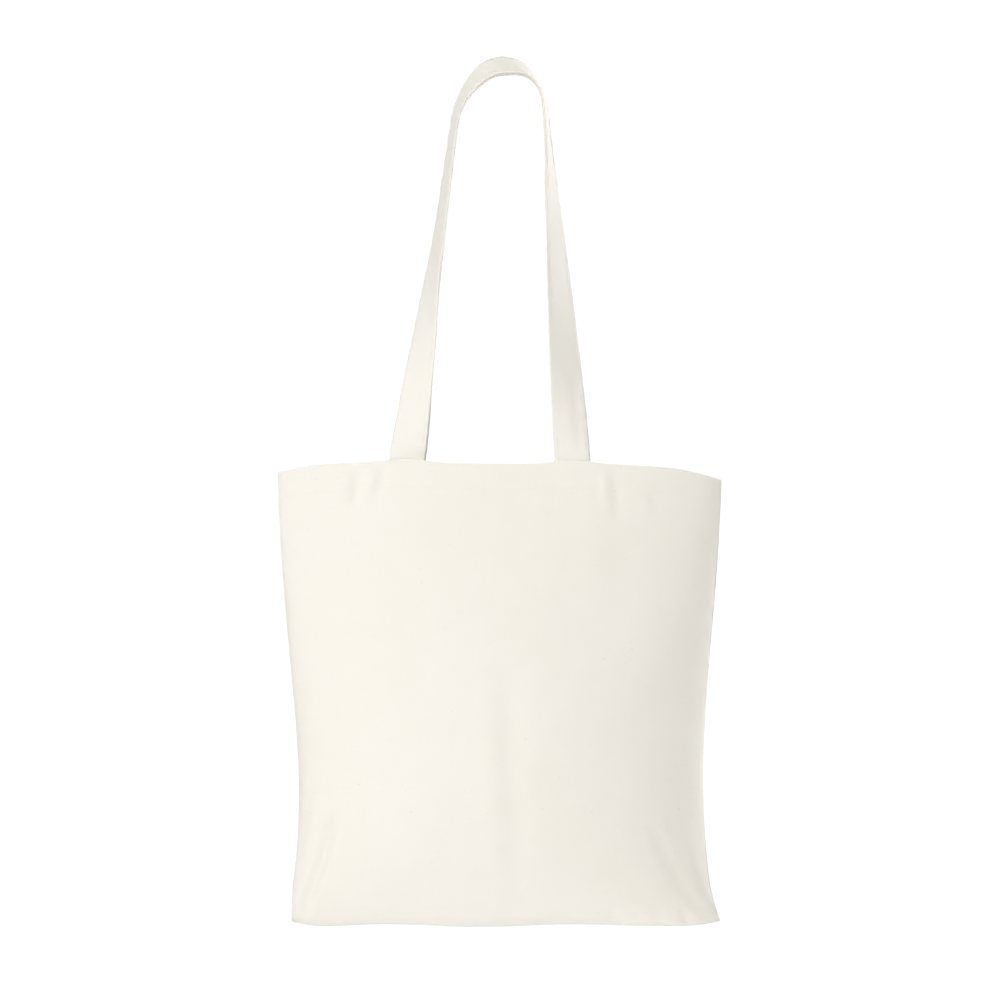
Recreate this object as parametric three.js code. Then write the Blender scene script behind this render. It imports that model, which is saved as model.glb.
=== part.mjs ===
// A canvas tote bag hanging by its two long handles: two sewn panels that the contents swell,
// a turned-in hem round the mouth, seam allowances inside, and two straps that lean together
// into one loop.
//
// Millimetres, +Z up. The origin is the point that the bag hangs from, level with the lowest
// edge of the handles' crown. The front panel faces -Y and +X is to the right.
//
// Each handle turns about the mouth's edge, so its free loop and its sewn ends are separate.
import * as THREE from "three";

// ---- Driving dimensions ----

const mouthWidth = 380;
const bottomWidth = 367;
const bagHeight = 394.5; // middle of the mouth down to the bottom seam, as it hangs full
const cornerDrop = 9.5; // how much lower the mouth's corners are than its middle
const sidePull = 12.5; // how far the contents draw each side seam in
const mouthGap = 48; // between the panels at the middle of the mouth
const bellyDepth = 122; // between the panels at the fullest height
const bellyAt = 0.66; // share of the height where the bag is fullest

const clothThickness = 0.8;
const pieceGap = 0.3; // clearance between pieces that touch
const hemDepth = 25;
const hemStitchInset = 3; // from the hem's lower edge up to its stitching
const hemEnd = 0.8; // the column, as a share of the half width, where a hem band stops
const allowanceWidth = 8;
const allowanceInset = 3.5; // from a seam to its allowance's near edge
const bottomAllowanceWidth = 320;
const sideAllowanceRise = 16; // bottom seam up to the lower end of a side allowance
const threadWidth = 0.6;
const overlockWidth = 1.2;

const strapWidth = 30;
const strapThickness = 2;
const strapEndLength = 32; // sewn inside the hem
const strapSpacing = 142.4; // between the middles of one handle's two feet
const frontHandleShift = -8.6; // middle of the front handle's feet, from the bag's middle
const backHandleShift = -7.6;
const edgeStitchInset = 3;
const boxStitchInset = 4;

const handleDrop = 334.5; // the crown's lowest edge down to the middle of the mouth
const crownWidth = 78; // between the strap's middle lines where the crown meets the legs
const crownRise = 48; // of the crown's arch
const crownFlat = 6; // straight stretch at the top of the crown
const crownShift = 0.8; // middle of the crown, from the bag's middle
const crownTilt = 31; // degrees that each strap's crown leans outward
const ridgeGap = 0.8; // between the two handles, where they lean together

// How each leg of a handle twists, in degrees of face turned to the front: it starts flat
// against the mouth at 90 and falls to `shoulder` by the power `fade` of the way up.
const flatTurn = 90;
const legs = [
  { side: -1, shoulder: 16, fade: 2.1 },
  { side: 1, shoulder: 10, fade: 1.25 },
];

// ---- Mesh resolution ----

const panelColumns = 20;
const rowsAboveBelly = 8;
const rowsBelowBelly = 9;
const legSteps = 16;
const arcSteps = 7;
const threadSides = 4;
const seamSteps = 22;

const FRONT = -1;
const BACK = 1;
const mouthHeight = -handleDrop;
const bottomHeight = mouthHeight - bagHeight;

// ---- Materials ----

function clothMaterial(color, roughness) {
  return new THREE.MeshStandardMaterial({ color, roughness, metalness: 0 });
}

const canvas = clothMaterial(0xf0ebdf, 0.9);
const webbing = clothMaterial(0xf2eee3, 0.9);
const thread = clothMaterial(0xf7f3ea, 0.7);

const bag = new THREE.Group();

function addMesh(name, geometry, material) {
  const mesh = new THREE.Mesh(geometry, material);
  mesh.name = name;
  bag.add(mesh);
}

// ---- The swollen pouch ----

/** Columns crowd towards the side seams, where the cloth turns fastest. */
function columnAt(share) {
  return Math.sin((share * Math.PI) / 2);
}

function halfWidthAt(down) {
  const pullShape = 1.7;
  const straight = THREE.MathUtils.lerp(mouthWidth, bottomWidth, down) / 2;
  return straight - sidePull * Math.sin(Math.PI * down ** pullShape);
}

/** Half the distance between the panels along the bag's middle line. */
function swellAt(down) {
  const closing = 0.5; // below 1, it rounds the bag's underside
  const mouth = mouthGap / 2;
  const belly = bellyDepth / 2;
  if (down < bellyAt) {
    return mouth + (belly - mouth) * Math.sin((Math.PI / 2) * (down / bellyAt));
  }
  const below = (down - bellyAt) / (1 - bellyAt);
  return belly * Math.max(0, Math.cos((Math.PI / 2) * below)) ** closing;
}

/** A point of a panel's middle layer: across runs from -1 to 1, down from 0 at the mouth to 1. */
function panelPoint(face, across, down) {
  const lensShape = 0.6;
  const cornerShape = 4;
  const lens = Math.max(0, 1 - across * across) ** lensShape;
  const seamHalf = (clothThickness + pieceGap) / 2;
  const top = mouthHeight - cornerDrop * Math.abs(across) ** cornerShape;
  return new THREE.Vector3(
    across * halfWidthAt(down),
    face * (seamHalf + swellAt(down) * lens),
    THREE.MathUtils.lerp(top, bottomHeight, down),
  );
}

/** The direction out of a panel, away from the bag's inside. */
function outwardAt(face, across, down) {
  const small = 1e-4;
  const alongX = panelPoint(face, across + small, down).sub(panelPoint(face, across - small, down));
  const lower = panelPoint(face, across, down + small);
  const alongDown = lower.sub(panelPoint(face, across, Math.max(0, down - small)));
  return alongX.cross(alongDown).normalize().multiplyScalar(face);
}

/** A point a given distance inside a panel's middle layer, or outside it if negative. */
function insidePoint(face, across, down, depth) {
  const outward = outwardAt(face, across, down);
  return panelPoint(face, across, down).addScaledVector(outward, -depth);
}

function acrossAt(x, down) {
  return x / halfWidthAt(down);
}

function shares(count, from = 0, to = 1) {
  return Array.from({ length: count + 1 }, (_, i) => THREE.MathUtils.lerp(from, to, i / count));
}

// ---- Closed bodies from grids and sections ----

function closedBody(points, triangles) {
  const geometry = new THREE.BufferGeometry();
  const numbers = points.flatMap((point) => point.toArray());
  geometry.setAttribute("position", new THREE.Float32BufferAttribute(numbers, 3));
  const insideOut = volumeOf(points, triangles) < 0;
  geometry.setIndex(triangles.flatMap(([a, b, c]) => (insideOut ? [a, c, b] : [a, b, c])));
  geometry.computeVertexNormals();
  return geometry;
}

function volumeOf(points, triangles) {
  const turned = new THREE.Vector3();
  const sixths = triangles.map(([a, b, c]) => points[a].dot(turned.crossVectors(points[b], points[c])));
  return sixths.reduce((sum, value) => sum + value, 0);
}

/** Joins two facing grids of points, each a list of rows, into one closed sheet. */
function sheetBetween(upper, lower) {
  const columns = upper[0].length;
  const points = [...upper.flat(), ...lower.flat()];
  const under = upper.length * columns;
  const triangles = [];
  const quad = (a, b, c, d) => triangles.push([a, b, c], [a, c, d]);
  for (let row = 0; row + 1 < upper.length; row += 1) {
    for (let column = 0; column + 1 < columns; column += 1) {
      const corner = row * columns + column;
      quad(corner, corner + 1, corner + columns + 1, corner + columns);
      quad(under + corner, under + corner + columns, under + corner + columns + 1, under + corner + 1);
    }
  }
  const rim = rimOf(upper.length, columns);
  rim.forEach((corner, i) => {
    const next = rim[(i + 1) % rim.length];
    quad(corner, under + corner, under + next, next);
  });
  return closedBody(points, triangles);
}

/** The indices round the edge of a grid, in order. */
function rimOf(rows, columns) {
  const top = shares(columns - 1, 0, columns - 1).map(Math.round);
  const sides = shares(rows - 1, 0, rows - 1).map(Math.round);
  const last = columns - 1;
  return [
    ...top.slice(0, -1),
    ...sides.slice(0, -1).map((row) => row * columns + last),
    ...top.slice(1).reverse().map((column) => (rows - 1) * columns + column),
    ...sides.slice(1).reverse().map((row) => row * columns),
  ];
}

/** A bar through a list of sections, each a ring of the same number of corners. */
function barThrough(sections) {
  const corners = sections[0].length;
  const points = sections.flat();
  const triangles = [];
  for (let i = 0; i + 1 < sections.length; i += 1) {
    for (let corner = 0; corner < corners; corner += 1) {
      const here = i * corners + corner;
      const beside = i * corners + ((corner + 1) % corners);
      triangles.push([here, beside, beside + corners], [here, beside + corners, here + corners]);
    }
  }
  const end = (sections.length - 1) * corners;
  for (let corner = 1; corner + 1 < corners; corner += 1) {
    triangles.push([0, corner + 1, corner], [end, end + corner, end + corner + 1]);
  }
  return closedBody(points, triangles);
}

/** A square-sectioned thread along a list of points, each with its own sideways direction. */
function threadThrough(route, width) {
  const radius = (width / 2) * Math.SQRT2;
  const sections = route.map(({ at, out }, i) => {
    const before = route[Math.max(0, i - 1)].at;
    const after = route[Math.min(route.length - 1, i + 1)].at;
    const along = after.clone().sub(before).normalize();
    const sideways = along.clone().cross(out).normalize();
    const square = out.clone().addScaledVector(along, -along.dot(out)).normalize();
    return shares(threadSides - 1, 0, threadSides - 1).map((corner) => {
      const angle = ((corner + 0.5) * 2 * Math.PI) / threadSides;
      const point = at.clone().addScaledVector(sideways, radius * Math.cos(angle));
      return point.addScaledVector(square, radius * Math.sin(angle));
    });
  });
  return barThrough(sections);
}

// ---- Panels ----

function panelRows() {
  const above = shares(rowsAboveBelly, 0, bellyAt);
  const below = shares(rowsBelowBelly).map((share) => bellyAt + (1 - bellyAt) * columnAt(share));
  return [...above, ...below.slice(1)];
}

/** Keeps a panel on its own side of the seams. */
function onOwnSide(face, point) {
  point.y = face * Math.max(face * point.y, pieceGap / 2);
  return point;
}

function gridNormals(grid) {
  return grid.map((row, i) => row.map((_, j) => {
    const right = row[Math.min(j + 1, row.length - 1)].clone().sub(row[Math.max(j - 1, 0)]);
    const above = grid[Math.max(i - 1, 0)][j];
    const below = grid[Math.min(i + 1, grid.length - 1)][j].clone().sub(above);
    return below.cross(right).normalize();
  }));
}

function addPanel(name, face) {
  const columns = shares(panelColumns, -1, 1).map(columnAt);
  const middle = panelRows().map((down) => columns.map((across) => panelPoint(face, across, down)));
  const normals = gridNormals(middle);
  const layer = (offset) => middle.map((row, i) => row.map((point, j) => {
    return onOwnSide(face, point.clone().addScaledVector(normals[i][j], offset));
  }));
  addMesh(name, sheetBetween(layer(clothThickness / 2), layer(-clothThickness / 2)), canvas);
}

addPanel("front_panel", FRONT);
addPanel("back_panel", BACK);

// ---- Hem bands and their stitching ----

const hemLayer = clothThickness + pieceGap; // middle of the panel to the middle of the hem
const endLayer = hemLayer + clothThickness / 2 + pieceGap + strapThickness / 2;
const hemDown = hemDepth / bagHeight;

/** A sheet inside a panel, between two depths from the panel's middle layer. */
function innerSheet(face, columns, rows, depth, thickness) {
  const layer = (offset) => rows.map((down) => columns(down).map((across) => {
    return insidePoint(face, across, down, depth + offset);
  }));
  return sheetBetween(layer(-thickness / 2), layer(thickness / 2));
}

function hemColumns() {
  const spans = Math.round(panelColumns * hemEnd);
  return shares(spans, -hemEnd, hemEnd).map(columnAt);
}

function addHem(name, face) {
  const rows = shares(2, 0, hemDown);
  addMesh(`${name}_hem`, innerSheet(face, hemColumns, rows, hemLayer, clothThickness), canvas);
  const stitchAt = hemDown - hemStitchInset / bagHeight;
  const lift = clothThickness / 2 + pieceGap + threadWidth / 2;
  const route = hemColumns().map((across) => ({
    at: insidePoint(face, across, stitchAt, -lift),
    out: outwardAt(face, across, stitchAt),
  }));
  addMesh(`${name}_hem_stitch`, threadThrough(route, threadWidth), thread);
}

addHem("front", FRONT);
addHem("back", BACK);

// ---- Seam allowances, folded inside the bag, and the thread that binds their edges ----

const allowanceThickness = 2 * clothThickness;
const upward = new THREE.Vector3(0, 0, 1);
const towardsBack = new THREE.Vector3(0, 1, 0);

/** A flat double layer between the panels, between two edges given point by point. */
function allowanceBetween(outer, inner) {
  const half = towardsBack.clone().multiplyScalar(allowanceThickness / 2);
  const moved = (edge, offset) => edge.map((point) => point.clone().add(offset));
  const layer = (offset) => [moved(outer, offset), moved(inner, offset)];
  return sheetBetween(layer(half), layer(half.clone().negate()));
}

function overlockAlong(edge, away) {
  const route = edge.map((point) => ({
    at: point.clone().addScaledVector(away, pieceGap + overlockWidth / 2),
    out: towardsBack,
  }));
  return threadThrough(route, overlockWidth);
}

function addSideAllowance(name, side) {
  const lowest = 1 - sideAllowanceRise / bagHeight;
  const rows = shares(seamSteps, hemDown + pieceGap / bagHeight, lowest);
  const edge = (inset) => rows.map((down) => {
    const z = THREE.MathUtils.lerp(mouthHeight - cornerDrop, bottomHeight, down);
    return new THREE.Vector3(side * (halfWidthAt(down) - inset), 0, z);
  });
  const inner = edge(allowanceInset + allowanceWidth);
  addMesh(`${name}_seam_allowance`, allowanceBetween(edge(allowanceInset), inner), canvas);
  const away = new THREE.Vector3(-side, 0, 0);
  addMesh(`${name}_seam_overlock`, overlockAlong(inner, away), thread);
}

function addBottomAllowance() {
  const half = bottomAllowanceWidth / 2;
  const edge = (rise) => shares(seamSteps, -half, half).map((x) => {
    return new THREE.Vector3(x, 0, bottomHeight + rise);
  });
  const inner = edge(allowanceInset + allowanceWidth);
  addMesh("bottom_seam_allowance", allowanceBetween(edge(allowanceInset), inner), canvas);
  addMesh("bottom_seam_overlock", overlockAlong(inner, upward), thread);
}

addSideAllowance("left", -1);
addSideAllowance("right", 1);
addBottomAllowance();

// ---- Handle feet, sewn inside the hem, with a box of stitching on each ----

function footMiddle(leg, shift) {
  return shift + (leg.side * strapSpacing) / 2;
}

function addFoot(name, face, middle) {
  const half = strapWidth / 2;
  const rows = shares(2, 0, strapEndLength / bagHeight);
  const columns = (down) => shares(2, middle - half, middle + half).map((x) => acrossAt(x, down));
  addMesh(name, innerSheet(face, columns, rows, endLayer, strapThickness), webbing);
}

/** The route of a box of stitching, as one thread laid on the foot's inner face. */
function addBoxStitch(name, face, middle) {
  const half = strapWidth / 2 - boxStitchInset;
  const low = hemDepth - boxStitchInset;
  const high = boxStitchInset;
  const steps = 3;
  const nearlyClosed = high + 2 * threadWidth;
  const corners = [[-half, high], [half, high], [half, low], [-half, low], [-half, nearlyClosed]];
  const depth = endLayer + strapThickness / 2 + pieceGap + threadWidth / 2;
  const route = [];
  corners.forEach(([x, drop], i) => {
    const [nextX, nextDrop] = corners[i + 1] ?? [x, drop];
    const count = corners[i + 1] ? steps : 1;
    for (let step = 0; step < count; step += 1) {
      const px = THREE.MathUtils.lerp(x, nextX, step / steps);
      const down = THREE.MathUtils.lerp(drop, nextDrop, step / steps) / bagHeight;
      const across = acrossAt(middle + px, down);
      route.push({ at: insidePoint(face, across, down, depth), out: outwardAt(face, across, down) });
    }
  });
  addMesh(name, threadThrough(route, threadWidth), thread);
}

// ---- Handle loops ----

const crownHeight = (strapWidth / 2) * Math.sin(THREE.MathUtils.degToRad(crownTilt))
  + (strapThickness / 2) * Math.cos(THREE.MathUtils.degToRad(crownTilt));
const archBase = crownHeight - crownRise;
const archHalf = (crownWidth - crownFlat) / 2;

/** Where the loop starts: just over the foot's top edge, in the middle of the strap. */
function loopStart(face, middle) {
  const footTop = 3 * pieceGap; // the foot's layers lean, so their outer edge stands proud
  const start = insidePoint(face, acrossAt(middle, 0), 0, endLayer);
  start.z += footTop;
  return start;
}

/** How far from the middle plane the strap's middle line runs when its inner edge is on the ridge. */
function ridgeOffset(turn) {
  const angle = THREE.MathUtils.degToRad(turn);
  return ridgeGap / 2 + (strapWidth / 2) * Math.cos(angle) + (strapThickness / 2) * Math.sin(angle);
}

/** One side of the loop, from its foot up to the middle of the crown. */
function legStations(face, leg, shift) {
  const start = loopStart(face, footMiddle(leg, shift));
  const middle = crownShift + (leg.side * crownFlat) / 2;
  // Squeezed so that the arch is a unit circle, the leg is the straight line that touches it.
  const sideways = (leg.side * (start.x - middle)) / archHalf;
  const reach = new THREE.Vector2(sideways, (start.z - archBase) / crownRise);
  const shoulderAngle = Math.atan2(reach.y, reach.x) + Math.acos(1 / reach.length());
  const onArch = (angle) => {
    const x = middle + leg.side * archHalf * Math.cos(angle);
    const z = archBase + crownRise * Math.sin(angle);
    return { x, z, normal: Math.atan2(Math.sin(angle) / crownRise, Math.cos(angle) / archHalf) };
  };
  const shoulder = onArch(shoulderAngle);
  const stations = shares(legSteps).slice(0, -1).map((up) => ({
    x: THREE.MathUtils.lerp(start.x, shoulder.x, up),
    z: THREE.MathUtils.lerp(start.z, shoulder.z, up),
    normal: shoulder.normal,
    turn: THREE.MathUtils.lerp(leg.shoulder, flatTurn, (1 - up) ** leg.fade),
    up,
  }));
  shares(arcSteps).forEach((share) => {
    const point = onArch(THREE.MathUtils.lerp(shoulderAngle, Math.PI / 2, share));
    const turn = THREE.MathUtils.lerp(leg.shoulder, crownTilt, THREE.MathUtils.smoothstep(share, 0, 1));
    stations.push({ ...point, turn, up: 1 });
  });
  return stations.map(({ x, z, normal, turn, up }) => {
    const ridge = face * ridgeOffset(turn);
    const outward = new THREE.Vector3(leg.side * Math.cos(normal), 0, Math.sin(normal));
    const angle = THREE.MathUtils.degToRad(turn);
    const ahead = new THREE.Vector3(0, face, 0);
    const wide = outward.clone().multiplyScalar(-Math.sin(angle));
    wide.addScaledVector(ahead, Math.cos(angle));
    if (up === 0) {
      wide.set(-leg.side, 0, 0); // the loop starts level with the mouth
    }
    return {
      at: new THREE.Vector3(x, THREE.MathUtils.lerp(start.y, ridge, up), z),
      out: outward.multiplyScalar(Math.cos(angle)).addScaledVector(ahead, Math.sin(angle)),
      wide,
    };
  });
}

function loopStations(face, shift) {
  const [left, right] = legs.map((leg) => legStations(face, leg, shift));
  return [...left, ...right.reverse()];
}

function strapSection({ at, out, wide }) {
  const corner = (w, t) => at.clone()
    .addScaledVector(wide, (w * strapWidth) / 2)
    .addScaledVector(out, (t * strapThickness) / 2);
  return [corner(-1, -1), corner(1, -1), corner(1, 1), corner(-1, 1)];
}

function addEdgeStitch(name, stations, edge) {
  const lift = strapThickness / 2 + pieceGap + threadWidth / 2;
  const sideways = edge * (strapWidth / 2 - edgeStitchInset);
  const route = stations.map(({ at, out, wide }) => ({
    at: at.clone().addScaledVector(out, lift).addScaledVector(wide, sideways),
    out,
  }));
  addMesh(name, threadThrough(route, threadWidth), thread);
}

function addHandle(name, face, shift) {
  const stations = loopStations(face, shift);
  addMesh(`${name}_handle`, barThrough(stations.map(strapSection)), webbing);
  addEdgeStitch(`${name}_handle_outer_stitch`, stations, 1);
  addEdgeStitch(`${name}_handle_inner_stitch`, stations, -1);
  legs.forEach((leg) => {
    const part = `${name}_handle_${leg.side < 0 ? "left" : "right"}_foot`;
    addFoot(part, face, footMiddle(leg, shift));
    addBoxStitch(`${part}_stitch`, face, footMiddle(leg, shift));
  });
}

addHandle("front", FRONT, frontHandleShift);
addHandle("back", BACK, backHandleShift);

export default bag;
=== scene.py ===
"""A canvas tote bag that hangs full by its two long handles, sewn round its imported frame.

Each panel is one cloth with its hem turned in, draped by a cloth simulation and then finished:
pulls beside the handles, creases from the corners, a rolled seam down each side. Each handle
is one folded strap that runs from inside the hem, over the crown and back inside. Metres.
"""

import math

import bpy
import numpy as np
from bpy.props import FloatProperty, FloatVectorProperty, IntProperty, PointerProperty
from bpy.types import Operator, Panel, PropertyGroup
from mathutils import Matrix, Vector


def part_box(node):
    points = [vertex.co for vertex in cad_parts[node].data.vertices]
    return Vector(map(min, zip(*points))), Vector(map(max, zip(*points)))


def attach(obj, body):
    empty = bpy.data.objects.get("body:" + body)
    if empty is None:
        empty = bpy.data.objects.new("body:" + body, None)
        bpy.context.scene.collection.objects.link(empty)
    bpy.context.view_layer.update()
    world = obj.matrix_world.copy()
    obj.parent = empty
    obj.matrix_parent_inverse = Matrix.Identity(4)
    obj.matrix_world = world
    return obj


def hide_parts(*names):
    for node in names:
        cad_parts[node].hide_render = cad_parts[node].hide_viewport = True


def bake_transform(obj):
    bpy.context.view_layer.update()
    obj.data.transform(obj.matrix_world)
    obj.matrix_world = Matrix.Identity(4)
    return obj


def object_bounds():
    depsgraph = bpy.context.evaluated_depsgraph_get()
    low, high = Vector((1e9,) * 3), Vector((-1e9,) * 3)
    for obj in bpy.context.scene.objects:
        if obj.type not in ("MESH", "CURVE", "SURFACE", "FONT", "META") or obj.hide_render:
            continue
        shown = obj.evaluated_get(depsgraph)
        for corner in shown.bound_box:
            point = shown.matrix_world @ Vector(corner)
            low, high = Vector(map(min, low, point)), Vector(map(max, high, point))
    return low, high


bl_info = {
    "name": "Canvas Tote Bag",
    "version": (1, 0, 0),
    "blender": (4, 5, 0),
    "location": "3D View > Sidebar > Tote Bag",
    "description": "Sews a hanging canvas tote bag round its packed frame",
    "category": "Add Mesh",
}

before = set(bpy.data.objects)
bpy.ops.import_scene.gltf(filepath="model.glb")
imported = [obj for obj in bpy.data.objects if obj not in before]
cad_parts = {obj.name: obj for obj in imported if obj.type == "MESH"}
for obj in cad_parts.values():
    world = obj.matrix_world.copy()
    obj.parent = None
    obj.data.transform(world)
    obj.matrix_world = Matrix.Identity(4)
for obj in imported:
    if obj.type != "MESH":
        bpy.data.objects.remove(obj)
frame_low, frame_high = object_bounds()

MM = 0.001
FRONT = -1
BACK = 1
FACES = {"front": FRONT, "back": BACK}
FACE_NAMES = {FRONT: "front", BACK: "back"}
SIDES = {"left": -1, "right": 1}
BAG_BODY = "bag"
CLOTH_MAP = "cloth"
# where each kind of unevenness starts its random draws
SEEDS = {
    "bottom wave": 3,
    "side puckers": 5,
    "bottom puckers": 7,
    "broad cloth": 11,
    "fine cloth": 31,
    "leg twist": 41,
    "seam edges": 60,
    "strap": 80,
}

PANEL_LOW, PANEL_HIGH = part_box("front_panel")
HANDLE_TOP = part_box("front_handle")[1].z
SIDE_ALLOWANCE_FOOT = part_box("right_seam_allowance")[0].z
BOTTOM_LOW, BOTTOM_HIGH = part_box("bottom_seam_allowance")


def foot_middle(face_name, side_name):
    """Where the middle of a handle's sewn end is, across the bag."""
    low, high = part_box(f"{face_name}_handle_{side_name}_foot")
    return (low.x + high.x) / 2


# ---- What a user would change ----


class ToteClothSizes(PropertyGroup):
    """The two panels, as the contents fill them."""

    thickness: FloatProperty(
        name="Cloth Thickness",
        description="Thickness of one layer of canvas",
        default=0.0008,
        min=0.0004, max=0.0012,
        precision=4,
        unit="LENGTH", subtype="DISTANCE",
    )
    mouth_gap: FloatProperty(
        name="Mouth Gap",
        description="Distance between the panels at the middle of the mouth",
        default=0.048,
        min=0.02, max=0.08,
        unit="LENGTH", subtype="DISTANCE",
    )
    belly_at: FloatProperty(
        name="Belly Height",
        description="Share of the way down where the bag is fullest",
        default=0.66,
        min=0.4, max=0.85,
        subtype="FACTOR",
    )
    taper: FloatProperty(
        name="Taper",
        description="How much narrower the bottom seam is than the mouth",
        default=0.013,
        min=0.0, max=0.04,
        unit="LENGTH", subtype="DISTANCE",
    )
    side_pull: FloatProperty(
        name="Side Pull",
        description="How far the contents draw each side seam in",
        default=0.0125,
        min=0.0, max=0.03,
        precision=4,
        unit="LENGTH", subtype="DISTANCE",
    )
    corner_drop: FloatProperty(
        name="Corner Drop",
        description="How much lower the corners of the mouth hang than its middle",
        default=0.0095,
        min=0.0, max=0.03,
        precision=4,
        unit="LENGTH", subtype="DISTANCE",
    )
    hem_depth: FloatProperty(
        name="Hem Depth",
        description="Depth of the hem that is turned in round the mouth",
        default=0.025,
        min=0.01, max=0.05,
        unit="LENGTH", subtype="DISTANCE",
    )
    handle_lift: FloatProperty(
        name="Lift at Handles",
        description="How far the handles pull the edge of the mouth up",
        default=0.0030,
        min=0.0, max=0.008,
        precision=4,
        unit="LENGTH", subtype="DISTANCE",
    )
    slack: FloatProperty(
        name="Slack",
        description="How far the cloth's own shape leans from the filled bag to the flat cut",
        default=0.35,
        min=0.0, max=1.0,
        subtype="FACTOR",
    )
    crease_height: FloatProperty(
        name="Crease Height",
        description="Scale of the creases finished by hand",
        default=1.0,
        min=0.0, max=3.0,
        subtype="FACTOR",
    )


class ToteHandleSizes(PropertyGroup):
    """The two straps and the loop that they make."""

    width: FloatProperty(
        name="Strap Width",
        description="Width of the folded strap",
        default=0.030,
        min=0.02, max=0.05,
        unit="LENGTH", subtype="DISTANCE",
    )
    thickness: FloatProperty(
        name="Strap Thickness",
        description="Thickness of the strap's folded layers",
        default=0.002,
        min=0.001, max=0.003,
        precision=4,
        unit="LENGTH", subtype="DISTANCE",
    )
    sewn_end: FloatProperty(
        name="Sewn End",
        description="Length of strap sewn inside the hem at each foot",
        default=0.032,
        min=0.015, max=0.06,
        unit="LENGTH", subtype="DISTANCE",
    )
    crown_width: FloatProperty(
        name="Crown Width",
        description="Width of the arch at the top of the handles",
        default=0.078,
        min=0.04, max=0.12,
        unit="LENGTH", subtype="DISTANCE",
    )
    crown_rise: FloatProperty(
        name="Crown Rise",
        description="Height of the arch at the top of the handles",
        default=0.048,
        min=0.02, max=0.08,
        unit="LENGTH", subtype="DISTANCE",
    )
    crown_tilt: FloatProperty(
        name="Crown Tilt",
        description="How far each strap leans outward at the crown",
        default=math.radians(31),
        min=0.0, max=math.radians(60),
        unit="ROTATION", subtype="ANGLE",
    )
    left_fullness: FloatProperty(
        name="Left Fullness",
        description="How full the left side of the crown's arch is: 2 is an ellipse",
        default=1.5,
        min=1.2, max=3.0,
    )
    right_fullness: FloatProperty(
        name="Right Fullness",
        description="How full the right side of the crown's arch is: 2 is an ellipse",
        default=2.4,
        min=1.2, max=3.0,
    )
    left_shoulder: FloatProperty(
        name="Left Twist",
        description="How far the left leg still faces the front where it meets the crown",
        default=math.radians(12),
        min=0.0, max=math.radians(90),
        unit="ROTATION", subtype="ANGLE",
    )
    right_shoulder: FloatProperty(
        name="Right Twist",
        description="How far the right leg still faces the front where it meets the crown",
        default=math.radians(7),
        min=0.0, max=math.radians(90),
        unit="ROTATION", subtype="ANGLE",
    )


class ToteThreadSizes(PropertyGroup):
    """The sewing."""

    stitch: FloatProperty(
        name="Stitch Length",
        description="Distance from one stitch to the next",
        default=0.0032,
        min=0.0015, max=0.006,
        precision=4,
        unit="LENGTH", subtype="DISTANCE",
    )
    thread: FloatProperty(
        name="Thread",
        description="Diameter of the sewing thread",
        default=0.00055,
        min=0.0002, max=0.001,
        precision=5,
        unit="LENGTH", subtype="DISTANCE",
    )
    overlock_pitch: FloatProperty(
        name="Overlock Pitch",
        description="Distance between the loops that bind the raw edges",
        default=0.0028,
        min=0.0015, max=0.006,
        precision=4,
        unit="LENGTH", subtype="DISTANCE",
    )
    weave_count: IntProperty(
        name="Threads per Metre",
        description="How many threads of the canvas lie side by side in a metre",
        default=1300,
        min=500, max=3000,
    )


class ToteFinish(PropertyGroup):
    """Colours of the undyed cloth and its thread."""

    canvas: FloatVectorProperty(
        name="Canvas",
        description="Colour of the undyed canvas",
        default=(0.845, 0.818, 0.758),
        min=0.0, max=1.0,
        size=3,
        subtype="COLOR",
    )
    strap: FloatVectorProperty(
        name="Strap",
        description="Colour of the folded straps",
        default=(0.850, 0.826, 0.770),
        min=0.0, max=1.0,
        size=3,
        subtype="COLOR",
    )
    thread: FloatVectorProperty(
        name="Thread",
        description="Colour of the sewing thread",
        default=(0.865, 0.842, 0.785),
        min=0.0, max=1.0,
        size=3,
        subtype="COLOR",
    )
    floor: FloatVectorProperty(
        name="Floor",
        description="Colour of the studio floor",
        default=(0.90, 0.90, 0.90),
        min=0.0, max=1.0,
        size=3,
        subtype="COLOR",
    )


# ---- Small tools ----


def smooth(share):
    """0 before 0, 1 after 1, and an easy slope between."""
    share = np.clip(share, 0.0, 1.0)
    return share * share * (3 - 2 * share)


def lerp(a, b, share):
    """The value that lies that share of the way from a to b."""
    return a + (b - a) * share


def unit(vectors):
    """The same directions, each one long."""
    length = np.linalg.norm(vectors, axis=-1, keepdims=True)
    return vectors / np.maximum(length, 1e-12)


def distance_along(path):
    """The distance along a path to each of its points."""
    steps = np.linalg.norm(np.diff(path, axis=0), axis=1)
    return np.concatenate([[0], np.cumsum(steps)])


def sample(at, stations, values):
    """Points of a line at new stations, from its points at known ones."""
    return np.stack([np.interp(at, stations, values[:, k]) for k in range(3)], -1)


def cloth_places(across, along):
    """Each point's place on the flat cloth, for points that lie in rows and columns."""
    return np.stack(np.broadcast_arrays(across, along), -1).reshape(-1, 2)


def spread_evenly(curve, count):
    """Parameter values from 0 to 1 that cut the curve into equal lengths, and those lengths."""
    fine = np.linspace(0, 1, 4001)
    length = distance_along(curve(fine))
    even = np.linspace(0, length[-1], count + 1)
    return np.interp(even, length, fine), even


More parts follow.
